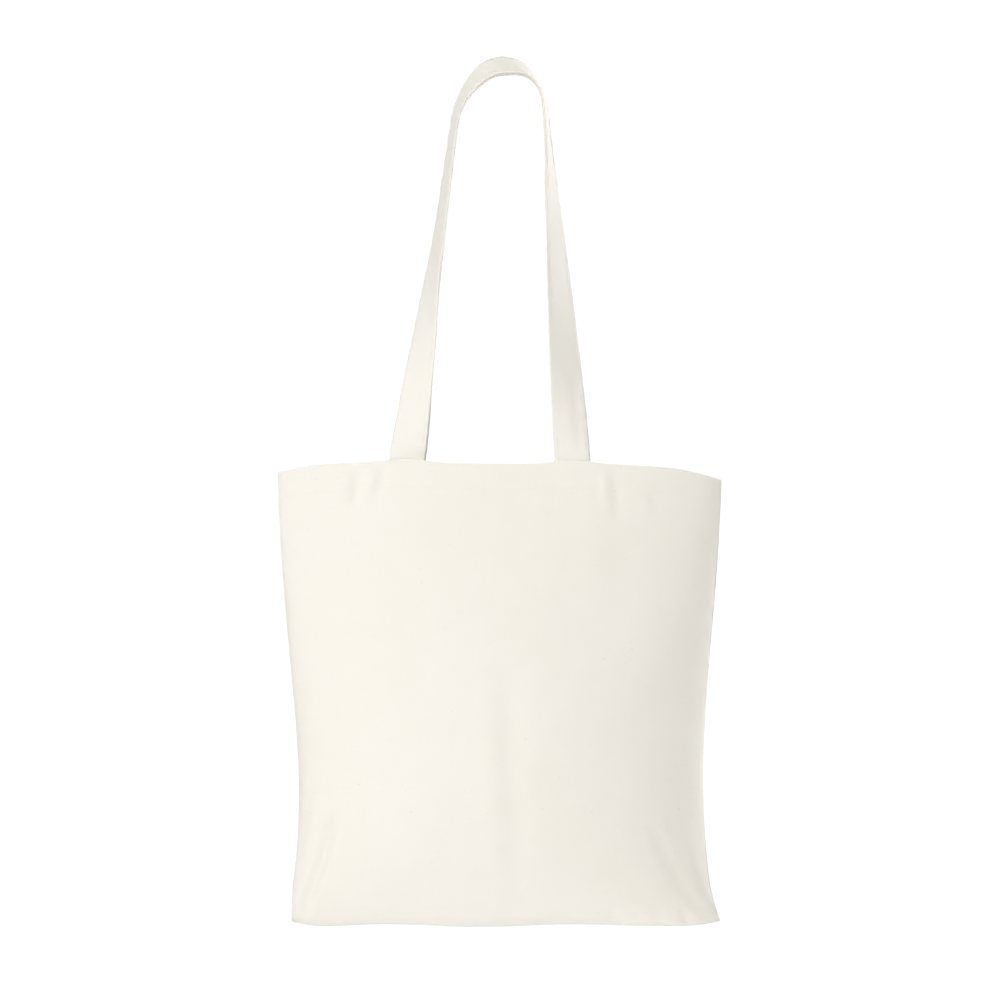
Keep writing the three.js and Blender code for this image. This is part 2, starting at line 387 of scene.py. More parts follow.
def ripple(points, seed, wave):
    """Smooth noise from -1 to 1 along one or two coordinates, the same on each run."""
    waves, usual_peak = 9, 3.5
    draw = np.random.default_rng(seed)
    points = np.atleast_2d(np.asarray(points, float).T).T
    total = np.zeros(len(points))
    for _ in range(waves):
        direction = draw.normal(size=points.shape[1])
        direction /= np.linalg.norm(direction)
        scale = 2 * math.pi / (wave * draw.uniform(0.7, 1.8))
        total += np.sin(points @ direction * scale + draw.uniform(0, 2 * math.pi))
    return total / usual_peak


# ---- Meshes ----


SHARP_ANGLE = math.radians(55)
NO_THREAD_RUNS_THERE = np.array([0.31, 0.2, 0.93])


def new_piece(name, points, faces, cloth, material):
    """A piece of the bag from its points, its faces and each point's place on the flat cloth."""
    mesh = bpy.data.meshes.new(name)
    mesh.from_pydata([tuple(p) for p in np.asarray(points)], [], faces)
    mesh.validate()
    layer = mesh.uv_layers.new(name=CLOTH_MAP)
    corner = np.empty(len(mesh.loops), np.int32)
    mesh.loops.foreach_get("vertex_index", corner)
    layer.data.foreach_set("uv", np.asarray(cloth, np.float32)[corner].ravel())
    mesh.shade_smooth()
    mesh.set_sharp_from_angle(angle=SHARP_ANGLE)
    mesh.materials.append(material)
    piece = bpy.data.objects.new(name, mesh)
    bpy.context.scene.collection.objects.link(piece)
    return piece


def grid_faces(rows, columns, first=0, flipped=False, closed=False):
    """The quads of a grid of points, which may close up round its columns."""
    across = columns if closed else columns - 1
    row, column = np.meshgrid(np.arange(rows - 1), np.arange(across), indexing="ij")
    beside = (column + 1) % columns
    quads = np.stack(
        [
            row * columns + column,
            row * columns + beside,
            (row + 1) * columns + beside,
            (row + 1) * columns + column,
        ],
        axis=-1,
    ).reshape(-1, 4)
    if flipped:
        quads = quads[:, ::-1]
    return (quads + first).tolist()


def rim_of(rows, columns):
    """The points round the edge of a grid, in order."""
    top = list(range(columns - 1))
    right = [row * columns + columns - 1 for row in range(rows - 1)]
    bottom = [(rows - 1) * columns + column for column in range(columns - 1, 0, -1)]
    left = [row * columns for row in range(rows - 1, 0, -1)]
    return top + right + bottom + left


def thick_sheet(right_side, wrong_side):
    """Points and faces of a closed sheet between two grids that face each other."""
    rows, columns = right_side.shape[:2]
    under = rows * columns
    points = np.concatenate([right_side.reshape(-1, 3), wrong_side.reshape(-1, 3)])
    faces = grid_faces(rows, columns) + grid_faces(rows, columns, under, flipped=True)
    rim = rim_of(rows, columns)
    for here, beside in zip(rim, rim[1:] + rim[:1]):
        faces.append([beside, here, under + here, under + beside])
    return outward_facing(points, faces)


def outward_facing(points, faces):
    """Turns every face round if together they enclose less than nothing."""
    volume = 0.0
    for corners in (np.array([f for f in faces if len(f) == n]) for n in (3, 4)):
        if len(corners) == 0:
            continue
        for second in range(1, corners.shape[1] - 1):
            a, b, c = (points[corners[:, i]] for i in (0, second, second + 1))
            volume += float(np.einsum("ij,ij->i", a, np.cross(b, c)).sum())
    if volume < 0:
        faces = [f[::-1] for f in faces]
    return points, faces


def grid_normals(grid):
    """The direction off each point of a grid, from its neighbours."""
    down = np.gradient(grid, axis=0)
    across = np.gradient(grid, axis=1)
    return unit(np.cross(across, down))


def finer(grid):
    """The grid with a new row between each two rows, on smooth curves through them."""
    last = len(grid) - 1
    before = grid[np.maximum(np.arange(last) - 1, 0)]
    after = grid[np.minimum(np.arange(last) + 2, last)]
    between = (9 * (grid[:-1] + grid[1:]) - before - after) / 16
    result = np.empty((2 * last + 1,) + grid.shape[1:])
    result[0::2] = grid
    result[1::2] = between
    return result


def tube(path, radius, sides):
    """Points, faces and cloth places of a thread along a path, with closed ends."""
    along = unit(np.gradient(path, axis=0))
    first = unit(np.cross(along, NO_THREAD_RUNS_THERE))
    second = np.cross(along, first)
    angle = np.arange(sides) * 2 * math.pi / sides
    ring = (
        first[:, None] * np.cos(angle)[None, :, None]
        + second[:, None] * np.sin(angle)[None, :, None]
    )
    points = (path[:, None] + radius * ring).reshape(-1, 3)
    faces = grid_faces(len(path), sides, closed=True) + end_caps(len(path), sides)
    return points, faces, cloth_places(distance_along(path)[:, None], (angle * radius)[None, :])


def end_caps(rows, columns):
    """The two faces that close a tube of rings."""
    last = (rows - 1) * columns
    return [list(range(columns - 1, -1, -1)), list(range(last, last + columns))]


def join(parts):
    """Several (points, faces, cloth places) as one."""
    points, faces, places, first = [], [], [], 0
    for part_points, part_faces, part_places in parts:
        points.append(part_points)
        places.append(part_places)
        faces.extend([[i + first for i in face] for face in part_faces])
        first += len(part_points)
    return np.concatenate(points), faces, np.concatenate(places)


# ---- The filled pouch ----


class Pouch:
    """The shape that the contents give the two panels."""

    seam_half = 0.00055
    side_gap = 0.0003
    lens_shape = 0.6  # under 1 is full out to the side seams
    corner_shape = 4  # how close to its ends the mouth's edge starts to drop
    pull_shape = 1.7  # over 1 puts the deepest side pull below the middle
    closing = 0.5  # under 1 is full down to the bottom seam

    def __init__(self, sizes):
        self.sizes = sizes
        self.top = PANEL_HIGH.z
        self.bottom = PANEL_LOW.z + sizes.thickness / 2
        self.mouth_half = PANEL_HIGH.x - self.side_gap
        self.belly_half = -PANEL_LOW.y - sizes.thickness / 2 - self.seam_half

    def half_width(self, down):
        """Half the bag's width, that share of the way down."""
        straight = self.mouth_half - self.sizes.taper / 2 * down
        pull = np.sin(math.pi * np.maximum(down, 0) ** self.pull_shape)
        return straight - self.sizes.side_pull * pull

    def swell(self, down):
        """How far the middle of a panel stands off the bag's middle plane."""
        mouth = self.sizes.mouth_gap / 2
        at = self.sizes.belly_at
        above = mouth + (self.belly_half - mouth) * np.sin(math.pi / 2 * down / at)
        below = np.clip((down - at) / (1 - at), 0, 1)
        closed = np.maximum(0, np.cos(math.pi / 2 * below)) ** self.closing
        return np.where(down < at, above, self.belly_half * closed)

    def middle(self, face, across, down):
        """The middle of a panel's cloth, across from -1 to 1 and down from 0 to 1."""
        across, down = np.broadcast_arrays(np.asarray(across, float), down)
        lens = np.maximum(0, 1 - across * across) ** self.lens_shape
        top = self.top - self.sizes.corner_drop * np.abs(across) ** self.corner_shape
        return np.stack(
            [
                across * self.half_width(down),
                face * self.swell(down) * lens,
                lerp(top, self.bottom, down),
            ],
            axis=-1,
        )


class Drape:
    """The grid that both panels share: its columns, its rows and their places on the flat cut."""

    columns = 92
    rows = 100

    def __init__(self, pouch):
        self.pouch = pouch
        half, lengths = spread_evenly(
            lambda t: pouch.middle(BACK, t, 0.5), self.columns // 2
        )
        self.across = np.concatenate([-half[:0:-1], half])
        self.flat_x = np.concatenate([-lengths[:0:-1], lengths])
        self.down, self.flat_z = spread_evenly(
            lambda t: pouch.middle(BACK, 0.0, t), self.rows
        )

    def surface(self, face):
        """The filled shape of one panel, as a grid of points."""
        return self.pouch.middle(face, self.across[None, :], self.down[:, None])

    def flat_cut(self):
        """The same grid on the flat cloth, hung straight down from the mouth."""
        x, down = self.flat_x[None, :], self.flat_z[:, None]
        return np.stack(np.broadcast_arrays(x, 0.0, self.pouch.top - down), axis=-1)


def weld(front, back):
    """Both panels as one pouch: its points, its faces and where each panel's points went."""
    rows, columns = front.shape[:2]
    where_front = np.arange(rows * columns).reshape(rows, columns)
    where_back = where_front.copy()
    free = np.zeros((rows, columns), bool)
    free[:-1, 1:-1] = True
    where_back[free] = rows * columns + np.arange(free.sum())
    points = np.concatenate([front.reshape(-1, 3), back[free]])
    faces = []
    for where, turned in ((where_front, False), (where_back, True)):
        quads = np.stack(
            [where[:-1, :-1], where[1:, :-1], where[1:, 1:], where[:-1, 1:]], axis=-1
        ).reshape(-1, 4)
        faces.extend((quads[:, ::-1] if turned else quads).tolist())
    return points, faces, {FRONT: where_front, BACK: where_back}


SETTLE_FRAMES = 32
CLOTH_FEEL = {
    "quality": 6,
    "mass": 0.15,
    "tension_stiffness": 60,
    "compression_stiffness": 60,
    "shear_stiffness": 25,
    "bending_stiffness": 8.0,
    "tension_damping": 15,
    "compression_damping": 15,
    "shear_damping": 10,
    "air_damping": 4,
    "vertex_group_mass": "held",
    "pin_stiffness": 1.0,
    "use_pressure": True,
    "uniform_pressure_force": 1.2,
    "vertex_group_pressure": "filled",
}


def hold_and_fill(drape, grids, where, count):
    """How firmly each point of the pouch is held, and how hard the contents press on it."""
    edge_hold, edge_reach = 0.55, 0.010
    body_hold = 0.22
    foot_half, foot_fade = 0.021, 0.006
    foot_depth, foot_end_fade = 0.038, 0.008
    press_from, press_fade = 0.03, 0.12
    held = np.zeros(count)
    filled = np.zeros(count)
    for face, grid in grids.items():
        depth = np.broadcast_to(drape.flat_z[:, None], grid.shape[:2])
        hold = np.maximum(edge_hold * np.exp(-((depth / edge_reach) ** 2)), body_hold)
        for side_name in SIDES:
            off = np.abs(grid[..., 0] - foot_middle(FACE_NAMES[face], side_name))
            beside = smooth((foot_half - off) / foot_fade)
            hold = np.maximum(hold, beside * smooth((foot_depth - depth) / foot_end_fade))
        at = where[face]
        held[at] = np.maximum(held[at], hold)
        filled[at] = np.maximum(filled[at], smooth((depth - press_from) / press_fade))
    return {"held": held, "filled": filled}


def settle_cloth(pouch, cut):
    """Runs the cloth simulation on the pouch, and returns where its points end up."""
    cloth = pouch.modifiers.new("settle", "CLOTH")
    for key, value in CLOTH_FEEL.items():
        setattr(cloth.settings, key, value)
    cloth.settings.rest_shape_key = cut
    cloth.collision_settings.use_collision = False
    cloth.collision_settings.use_self_collision = False
    cloth.point_cache.frame_start = 1
    cloth.point_cache.frame_end = SETTLE_FRAMES
    for number in range(1, SETTLE_FRAMES + 1):
        bpy.context.scene.frame_set(number)
    settled = pouch.evaluated_get(bpy.context.evaluated_depsgraph_get())
    moved = np.empty(len(pouch.data.vertices) * 3, np.float32)
    settled.data.vertices.foreach_get("co", moved)
    return moved.reshape(-1, 3).astype(float)


def simulate_drape(drape, sizes):
    """Lets the filled pouch settle as cloth, and returns where each panel's points went."""
    grids = {face: drape.surface(face) for face in FACE_NAMES}
    points, faces, where = weld(grids[FRONT], grids[BACK])
    flat = np.empty_like(points)
    for at in where.values():
        flat[at] = drape.flat_cut()
    mesh = bpy.data.meshes.new("pouch")
    mesh.from_pydata([tuple(p) for p in points], [], faces)
    pouch = bpy.data.objects.new("pouch", mesh)
    bpy.context.scene.collection.objects.link(pouch)
    pouch.shape_key_add(name="filled")
    cut = pouch.shape_key_add(name="cut")
    rest = lerp(points, flat, sizes.slack)
    cut.data.foreach_set("co", rest.astype(np.float32).ravel())
    cut.value = 0.0
    for name, weights in hold_and_fill(drape, grids, where, len(points)).items():
        group = pouch.vertex_groups.new(name=name)
        for index, weight in enumerate(weights):
            group.add([index], float(weight), "REPLACE")
    moved = settle_cloth(pouch, cut)
    bpy.data.objects.remove(pouch)
    bpy.data.meshes.remove(mesh)
    bpy.context.scene.frame_set(1)
    return {face: moved[at] for face, at in where.items()}


def evened(grid):
    """The grid with each inner point drawn halfway to its neighbours, down and then across."""
    grid[1:-1] = (grid[:-2] + 2 * grid[1:-1] + grid[2:]) / 4
    grid[:, 1:-1] = (grid[:, :-2] + 2 * grid[:, 1:-1] + grid[:, 2:]) / 4
    return grid


def settled_surface(drape, sizes):
    """Each panel's middle surface after the cloth has settled, no point far from where it began."""
    farthest = 0.012
    kept = 0.35  # stiff canvas keeps only part of what limp cloth would do
    rounds = 30  # and none of its finest wrinkles
    start = {face: drape.surface(face) for face in FACE_NAMES}
    result = {}
    for face, moved in simulate_drape(drape, sizes).items():
        shift = moved - start[face]
        far = np.linalg.norm(shift, axis=-1, keepdims=True)
        shift *= np.minimum(1.0, farthest / np.maximum(far, 1e-9))
        for _ in range(rounds):
            shift = evened(shift)
        result[face] = start[face] + shift * kept
    return result


# ---- Finishing the panels ----


def crease(x, z, top, foot, height, width):
    """A ridge of that height on the cloth from one place to another, which fades at its ends."""
    fade_in, fade_out = 0.25, 0.40  # shares of its length
    hollow, hollow_spread = 0.25, 5  # the faint hollow along both of its sides
    start, end = np.array(top), np.array(foot)
    line = end - start
    length = np.linalg.norm(line)
    line = line / length
    along = (x - start[0]) * line[0] + (z - start[1]) * line[1]
    off = -(x - start[0]) * line[1] + (z - start[1]) * line[0]
    ends = smooth((along + width) / (2 * width + fade_in * length))
    ends = ends * smooth((length + width - along) / (2 * width + fade_out * length))
    near = (off / width) ** 2
    profile = (1 + hollow) * np.exp(-near) - hollow * np.exp(-near / hollow_spread)
    return height * ends * profile


def hand_creases(face, x, z, bottom):
    """How far the creases stand out of a panel, from places across and down the cloth."""
    side = -face  # the back's creases mirror the front's, seen from outside
    left, right = -0.0796, 0.0624  # the middles of the handles, across the flat cloth
    pucker_from, pucker_to, pucker_lean, pucker_width = 0.034, 0.004, 0.006, 0.0075
    puckers = ((0.088, -0.0012), (0.118, 0.0008), (0.152, -0.0012), (-0.060, 0.0006))
    # each crease is its top and its foot, as (across, down), then its height and its half width
    creases = [
        # pulls beside the handles
        ((left - 0.034, 0.004), (left - 0.039, 0.042), -0.0027, 0.0052),
        ((left - 0.023, 0.002), (left - 0.026, 0.034), 0.0010, 0.0045),
        ((left - 0.013, 0.002), (left - 0.016, 0.028), -0.0009, 0.0040),
        ((right + 0.021, 0.002), (right + 0.025, 0.045), 0.0009, 0.0038),
        ((right + 0.030, 0.008), (right + 0.036, 0.055), -0.0007, 0.0060),
        ((right + 0.054, 0.022), (right + 0.060, 0.048), 0.0006, 0.0055),
        ((right - 0.028, 0.010), (right - 0.036, 0.060), 0.0006, 0.0080),
        ((right + 0.012, 0.030), (right + 0.016, 0.150), 0.0004, 0.0120),
        ((right + 0.036, 0.030), (right + 0.044, 0.160), -0.0004, 0.0140),
        # the long soft fold down the middle
        ((-0.014, 0.140), (-0.005, bottom - 0.008), 0.0008, 0.0130),
        ((0.006, 0.145), (0.016, bottom - 0.008), -0.0011, 0.0130),
        # creases that run up from the corners
        ((-0.145, bottom - 0.135), (-0.180, bottom - 0.004), -0.0038, 0.0062),
        ((-0.138, bottom - 0.105), (-0.172, bottom - 0.006), 0.0006, 0.0085),
        ((-0.163, bottom - 0.150), (-0.186, bottom - 0.050), 0.0006, 0.0050),
        ((0.128, bottom - 0.120), (0.180, bottom - 0.006), -0.0007, 0.0080),
        ((0.106, bottom - 0.085), (0.164, bottom - 0.006), 0.0004, 0.0110),
        ((0.152, bottom - 0.150), (0.186, bottom - 0.035), 0.0006, 0.0070),
    ]
    # puckers along the bottom seam
    for at, height in puckers:
        top, foot = (at, bottom - pucker_from), (at + pucker_lean, bottom + pucker_to)
        creases.append((top, foot, height, pucker_width))
    # soft dents where the cloth lies over the contents
    creases.append(((-0.090, 0.110), (-0.060, 0.200), -0.0008, 0.0300))
    creases.append(((0.070, 0.090), (0.090, 0.230), -0.0008, 0.0320))
    x = x * side
    out = np.zeros(np.broadcast(x, z).shape)
    for top, foot, height, width in creases:
        out += crease(x, z, top, foot, height, width)
    return out


def panel_relief(face, x, z, drape, sizes):
    """How far each place of a finished panel stands out of its settled surface."""
    bottom, half = drape.flat_z[-1], drape.flat_x[-1]
    from_side, from_bottom = half - np.abs(x), bottom - z
    broad, fine = (0.00045, 0.110), (0.00009, 0.026)  # height and wave of its unevenness
    pucker_height, pucker_reach = 0.0007, 0.010
    side_wave, bottom_wave = 0.016, 0.018
    stitch_at, groove_half, groove_depth = sizes.hem_depth - HEM_STITCH_INSET, 0.0014, 0.00030
    step_height, step_wide = 0.00035, 0.0016
    side_fade, bottom_fade = 0.012, 0.008

    out = sizes.crease_height * hand_creases(face, x, z, bottom)
    places = np.stack([x.ravel(), z.ravel()], axis=1)
    out += broad[0] * ripple(places, SEEDS["broad cloth"] + face, broad[1]).reshape(x.shape)
    out += fine[0] * ripple(places, SEEDS["fine cloth"] + face, fine[1]).reshape(x.shape)
    # the stitching draws the cloth into small puckers along each seam
    by_side = ripple(z.ravel(), SEEDS["side puckers"], side_wave).reshape(x.shape)
    by_bottom = ripple(x.ravel(), SEEDS["bottom puckers"], bottom_wave).reshape(x.shape)
    pucker = np.exp(-from_side / pucker_reach) * by_side
    pucker += np.exp(-from_bottom / pucker_reach) * by_bottom
    out += pucker_height * pucker
    # the hem shows through as a faint step with a groove along its stitches
    groove = np.exp(-(((z - stitch_at) / groove_half) ** 2))
    step = smooth((sizes.hem_depth - z) / step_wide)
    out += step_height * step - groove_depth * groove
    return out * smooth(from_side / side_fade) * smooth(from_bottom / bottom_fade)


def mouth_lift(face, x, across, sizes):
    """How far the edge of the mouth lies above its even curve, with x on the bag."""
    foot_reach = 0.024
    left_lift, left_drop, left_from = 0.0040, 0.35, 0.75
    right_droop, right_from = 0.0035, 0.72
    lift = np.zeros_like(x)
    for side_name in SIDES:
        off = x - foot_middle(FACE_NAMES[face], side_name)
        lift += sizes.handle_lift * np.exp(-((off / foot_reach) ** 2))
    corner = 1 - left_drop * smooth((-across - left_from) / (1 - left_from))
    lift += left_lift * (smooth(-across) * corner)
    droop = right_droop * smooth((np.abs(across) - right_from) / (1 - right_from))
    return lift - droop * (across > 0)


def finish_panel(face, middle, drape, sizes):
    """Adds to a settled panel what the simulation leaves out."""
    mouth_reach = 0.045
    body_lean, body_from, body_over = 0.0016, 0.35, 0.4
    foot_lean, foot_from = 0.0038, 0.86
    low_from = 0.80
    wave_height, wave_length = 0.0012, 0.16
    corner_rise, corner_from = 0.0035, 0.72
    x = np.broadcast_to(drape.flat_x[None, :], middle.shape[:2])
    z = np.broadcast_to(drape.flat_z[:, None], middle.shape[:2])
    across, share = x / drape.flat_x[-1], z / drape.flat_z[-1]
    outward = grid_normals(middle)
    outward *= np.sign((outward[..., 1] * face).sum())
    moved = middle + outward * panel_relief(face, x, z, drape, sizes)[..., None]

    # the handles lift the edge of the mouth, and its corners droop
    moved[..., 2] += mouth_lift(face, moved[..., 0], across, sizes) * np.exp(-z / mouth_reach)
    # the whole bag leans a little to the right on its way down
    lean = body_lean * smooth((share - body_from) / body_over)
    moved[..., 0] += lean + foot_lean * smooth((share - foot_from) / (1 - foot_from))
    # the bottom seam runs in a slight wave, and its corners turn up
    wave = ripple(x.ravel(), SEEDS["bottom wave"], wave_length).reshape(x.shape)
    corner = smooth((np.abs(across) - corner_from) / (1 - corner_from)) ** 2
    low = smooth((share - low_from) / (1 - low_from))
    moved[..., 2] += low * (wave_height * wave + corner_rise * corner)
    return moved


class Panels:
    """Both finished panels, and how to find a place on them."""

    edge_half = 0.00125  # half the distance between the panels where they meet at a seam
    # the cloth's roll into a seam: how far in from the edge, and how far off the middle plane
    roll = ((0.00025, 0.00085), (0.0008, 0.0005), (0.0024, 0.00045))
    roll_length = 0.0024  # the flat cloth that the roll takes

    def __init__(self, sizes):
        self.sizes = sizes
        self.pouch = Pouch(sizes)
        drape = Drape(self.pouch)
        settled = settled_surface(drape, sizes)
        self.flat_x = finer(drape.flat_x)
        self.flat_z = finer(drape.flat_z)
        self.middle = {}
        for face in FACE_NAMES:
            shape = finer(finish_panel(face, settled[face], drape, sizes))
            self.middle[face] = finer(shape.transpose(1, 0, 2)).transpose(1, 0, 2)
        self.sew_edges()
        self.outward = {}
        for face in FACE_NAMES:
            outward = grid_normals(self.middle[face])
            self.outward[face] = outward * np.sign((outward[..., 1] * face).sum())

    def sew_edges(self):
        """Brings both panels to the same line along each seam, with room for their thickness."""
        side_from, bottom_from = 0.90, 0.94
        front, back = self.middle[FRONT], self.middle[BACK]
        halfway = (front + back) / 2
        seam = {}
        for column in (0, -1):
            line = halfway[:, column].copy()
            front[:, column] = line
            back[:, column] = line
            seam[column] = line[:, 1]
        front[-1] = halfway[-1]
        back[-1] = halfway[-1]
        share_x = self.flat_x / self.flat_x[-1]
        share_z = self.flat_z / self.flat_z[-1]
        to_side = smooth((np.abs(share_x) - side_from) / (1 - side_from))[None, :]
        to_bottom = smooth((share_z - bottom_from) / (1 - bottom_from))[:, None]
        beside = np.where(share_x[None, :] < 0, seam[0][:, None], seam[-1][:, None])
        under = halfway[-1][None, :, 1]
        line = beside * to_side * (1 - to_bottom) + under * to_bottom
        self.seam_y = line
        for face in FACE_NAMES:
            off = face * (self.middle[face][..., 1] - line)
            self.middle[face][..., 1] = line + face * np.maximum(off, self.edge_half)

    def place(self, face, x, depth, inside):
        """A place that far inside a panel's middle layer, from its x and depth below the mouth."""
        row = np.interp(depth, self.flat_z, np.arange(len(self.flat_z)))
        low = np.minimum(int(row), len(self.flat_z) - 2)
        part = row - low
        line = lerp(self.middle[face][low], self.middle[face][low + 1], part)
        normal = lerp(self.outward[face][low], self.outward[face][low + 1], part)
        columns = np.arange(len(line))
        column = np.interp(x, line[:, 0], columns)
        out = unit(sample(column, columns, normal))
        return sample(column, columns, line) - out * inside, out

    def seam_line(self, side):
        """The line of a side seam, from the mouth down."""
        return self.middle[BACK][:, 0 if side < 0 else -1]


HEM_LAYER = 0.0011  # from the middle of a panel to the middle of its hem
STRAP_LAYER = 0.0028  # from the middle of a panel to the middle of a sewn strap end
HEM_STITCH_INSET = 0.003  # from the hem's inner fold to its stitches


def turned_hem(panels, face):
    """Rows of points up the inside of a hem and over its fold, to the edge of the mouth.

    With them come each row's place down the flat cloth, and how far it is drawn in sideways.
    """
    short_of_seam = 0.979  # the hem's width beside the panel's
    hem_depth = panels.sizes.hem_depth
    middle, outward, depths = panels.middle[face], panels.outward[face], panels.flat_z
    columns = np.arange(len(panels.flat_x))
    centre = columns[-1] / 2
    drawn_in = centre + (columns - centre) * short_of_seam

    def row_at(index, narrow):
        source = lerp(columns, drawn_in, narrow)
        line = sample(source, columns, middle[index])
        return line, unit(sample(source, columns, outward[index]))

    last = int(np.searchsorted(depths, hem_depth))
    rows, places, narrow_by = [], [], []
    for index in range(last, -1, -1):
        line, out = row_at(index, 1.0)
        depth = depths[index]
        if index == last:
            above, _ = row_at(index - 1, 1.0)
            back_up = (depth - hem_depth) / (depth - depths[index - 1])
            line = lerp(line, above, back_up)
            depth = hem_depth
        rows.append(line - out * HEM_LAYER)
        places.append(-depth)
        narrow_by.append(1.0)
    up = unit(middle[0] - middle[1])
    radius = HEM_LAYER / 2
    for turn in (0.25, 0.5, 0.75):
        angle = math.pi * turn
        line, out = row_at(0, 1 - turn)
        line = line - out * radius * (1 + math.cos(angle))
        rows.append(line + up * radius * math.sin(angle))
        places.append(0.0)
        narrow_by.append(1 - turn)
    return rows, places, narrow_by


def rolled_side(panels, face, surface, side, narrow):
    """Columns of points where the cloth rolls inward along one side seam, from the panel out."""
    crowding = 0.00015  # between the roll's steps where the hem is drawn in
    column = 0 if side < 0 else -1
    edge = surface[:, column]
    seam = panels.seam_y[:, column]
    hem_rows = len(surface) - len(seam)
    seam = np.concatenate([np.full(hem_rows, seam[0]), seam])
    rolls = []
    for number, (inward, half) in enumerate(panels.roll):
        point = edge.copy()
        point[:, 0] -= side * lerp(inward, crowding * (number + 1), narrow)
        point[:, 1] = lerp(seam + face * half, edge[:, 1], narrow)
        rolls.append(point)
    return np.stack(rolls, axis=1)


def hem_and_panel(panels, face):
    """The middle surface of one panel with its hem turned in, and its places on the flat cut."""
    middle = panels.middle[face]
    rows, places, narrow_by = turned_hem(panels, face)
    surface = np.array(rows + list(middle))
    narrow = np.array(narrow_by + [0.0] * len(middle))
    steps = panels.roll_length * np.arange(1, len(panels.roll) + 1) / len(panels.roll)

    left = rolled_side(panels, face, surface, -1, narrow)[:, ::-1]
    right = rolled_side(panels, face, surface, 1, narrow)
    surface = np.concatenate([left, surface, right], axis=1)
    half = abs(panels.flat_x[-1])
    flat_x = np.concatenate([-(half + steps[::-1]), panels.flat_x, half + steps])

    seam = np.pad(panels.seam_y[-1], len(steps), mode="edge")
    low_rows = []
    for inward, off in panels.roll:
        line = surface[-1].copy()
        line[:, 2] += inward
        line[:, 1] = seam + face * np.minimum(off, np.abs(line[:, 1] - seam))
        low_rows.append(line)
    surface = np.concatenate([surface, np.array(low_rows)])
    down = np.concatenate([places, panels.flat_z, panels.flat_z[-1] + steps])
    return surface, cloth_places(flat_x[None, :], -down[:, None])


def sew_panel(panels, name, face, material):
    """One panel and its hem as a single thick cloth."""
    surface, flat = hem_and_panel(panels, face)
    normal = grid_normals(surface)
    half = panels.sizes.thickness / 2
    points, faces = thick_sheet(surface + normal * half, surface - normal * half)
    return new_piece(name, points, faces, np.tile(flat, (2, 1)), material)


# ---- Stitches ----


# One stitch at stations along it: where each is, how thick the thread and how deep it dives
STITCH_AT = np.array([-1.0, -0.78, -0.35, 0.35, 0.78, 1.0])
STITCH_THICK = np.array([0.45, 0.85, 1.0, 1.0, 0.85, 0.45])
STITCH_SINK = np.array([1.6, 0.55, 0.0, 0.0, 0.55, 1.6])
STITCH_DIP = 0.00018
STITCH_SHARE = 0.80  # of the pitch, and the rest is the gap to the next stitch
STITCH_SIDES = 6
STITCH_FLAT = 0.8  # the pulled thread is flatter than it is wide


def stitches(route, out, pitch, thread):
    """A run of separate stitches on a route: each one rises out of the cloth and dives back."""
    length = distance_along(route)
    count = max(1, int(length[-1] / pitch))
    middle = (np.arange(count) + 0.5) * length[-1] / count
    reach = STITCH_SHARE / 2 * length[-1] / count
    at = middle[:, None] + STITCH_AT[None, :] * reach
    centre = sample(at, length, route)
    normal = unit(sample(at, length, out))
    along = unit(np.gradient(centre, axis=1))
    across = unit(np.cross(along, normal))
    centre = centre - normal * (STITCH_DIP * STITCH_SINK)[None, :, None]
    angle = np.arange(STITCH_SIDES) * 2 * math.pi / STITCH_SIDES
    radius = (thread / 2 * STITCH_THICK)[None, :, None, None]
    ring = (
        across[:, :, None] * np.cos(angle)[None, None, :, None]
        + STITCH_FLAT * normal[:, :, None] * np.sin(angle)[None, None, :, None]
    )
    points = (centre[:, :, None] + radius * ring).reshape(-1, 3)
    rows = len(STITCH_AT)
    one = grid_faces(rows, STITCH_SIDES, closed=True) + end_caps(rows, STITCH_SIDES)
    each = rows * STITCH_SIDES
    faces = [[i + each * number for i in face] for number in range(count) for face in one]
    return points, faces, cloth_places(at[:, :, None], (angle * thread / 2)[None, None, :])


def hem_stitches(panels, face, threads):
    """The seam that holds a hem: stitches on the outside of the panel and on the hem's inside."""
    sizes = panels.sizes
    depth = sizes.hem_depth - HEM_STITCH_INSET
    reach = panels.pouch.mouth_half * 0.988  # the row stops just short of the side seams
    clear_of_foot = 0.0155
    places = 260
    raised = 0.12  # how far the thread's middle lies above the cloth's face, as a share of it
    xs = np.linspace(-reach, reach, places)
    parts = []
    for inside, turned in ((-sizes.thickness / 2, 1), (HEM_LAYER + sizes.thickness / 2, -1)):
        found = [panels.place(face, x, depth, inside) for x in xs]
        out = np.array([out for _, out in found]) * turned
        route = np.array([at for at, _ in found]) + out * threads.thread * raised
        clear = np.ones(len(xs), bool)
        if turned < 0:
            for side_name in SIDES:
                foot = foot_middle(FACE_NAMES[face], side_name)
                clear &= np.abs(xs - foot) > clear_of_foot
        for run in np.split(np.arange(len(xs)), np.where(np.diff(clear))[0] + 1):
            if clear[run[0]] and len(run) > 3:
                parts.append(stitches(route[run], out[run], threads.stitch, threads.thread))
    return join(parts)


# ---- Seam allowances and their binding ----


def allowance_lines(panels):
    """For each seam, its name, the line of its outer edge and the way in from it."""
    below_hem = 0.0005
    lines = {}
    for side_name, side in SIDES.items():
        seam = panels.seam_line(side)
        clear = panels.flat_z > panels.sizes.hem_depth + below_hem
        clear &= seam[:, 2] > SIDE_ALLOWANCE_FOOT
        lines[f"{side_name}_seam"] = (seam[clear], np.array([-side, 0.0, 0.0]))
    low = panels.middle[BACK][-1].copy()
    low[:, 1] = panels.seam_y[-1]
    inside = (low[:, 0] > BOTTOM_LOW.x) & (low[:, 0] < BOTTOM_HIGH.x)
    lines["bottom_seam"] = (low[inside], np.array([0.0, 0.0, 1.0]))
    return lines


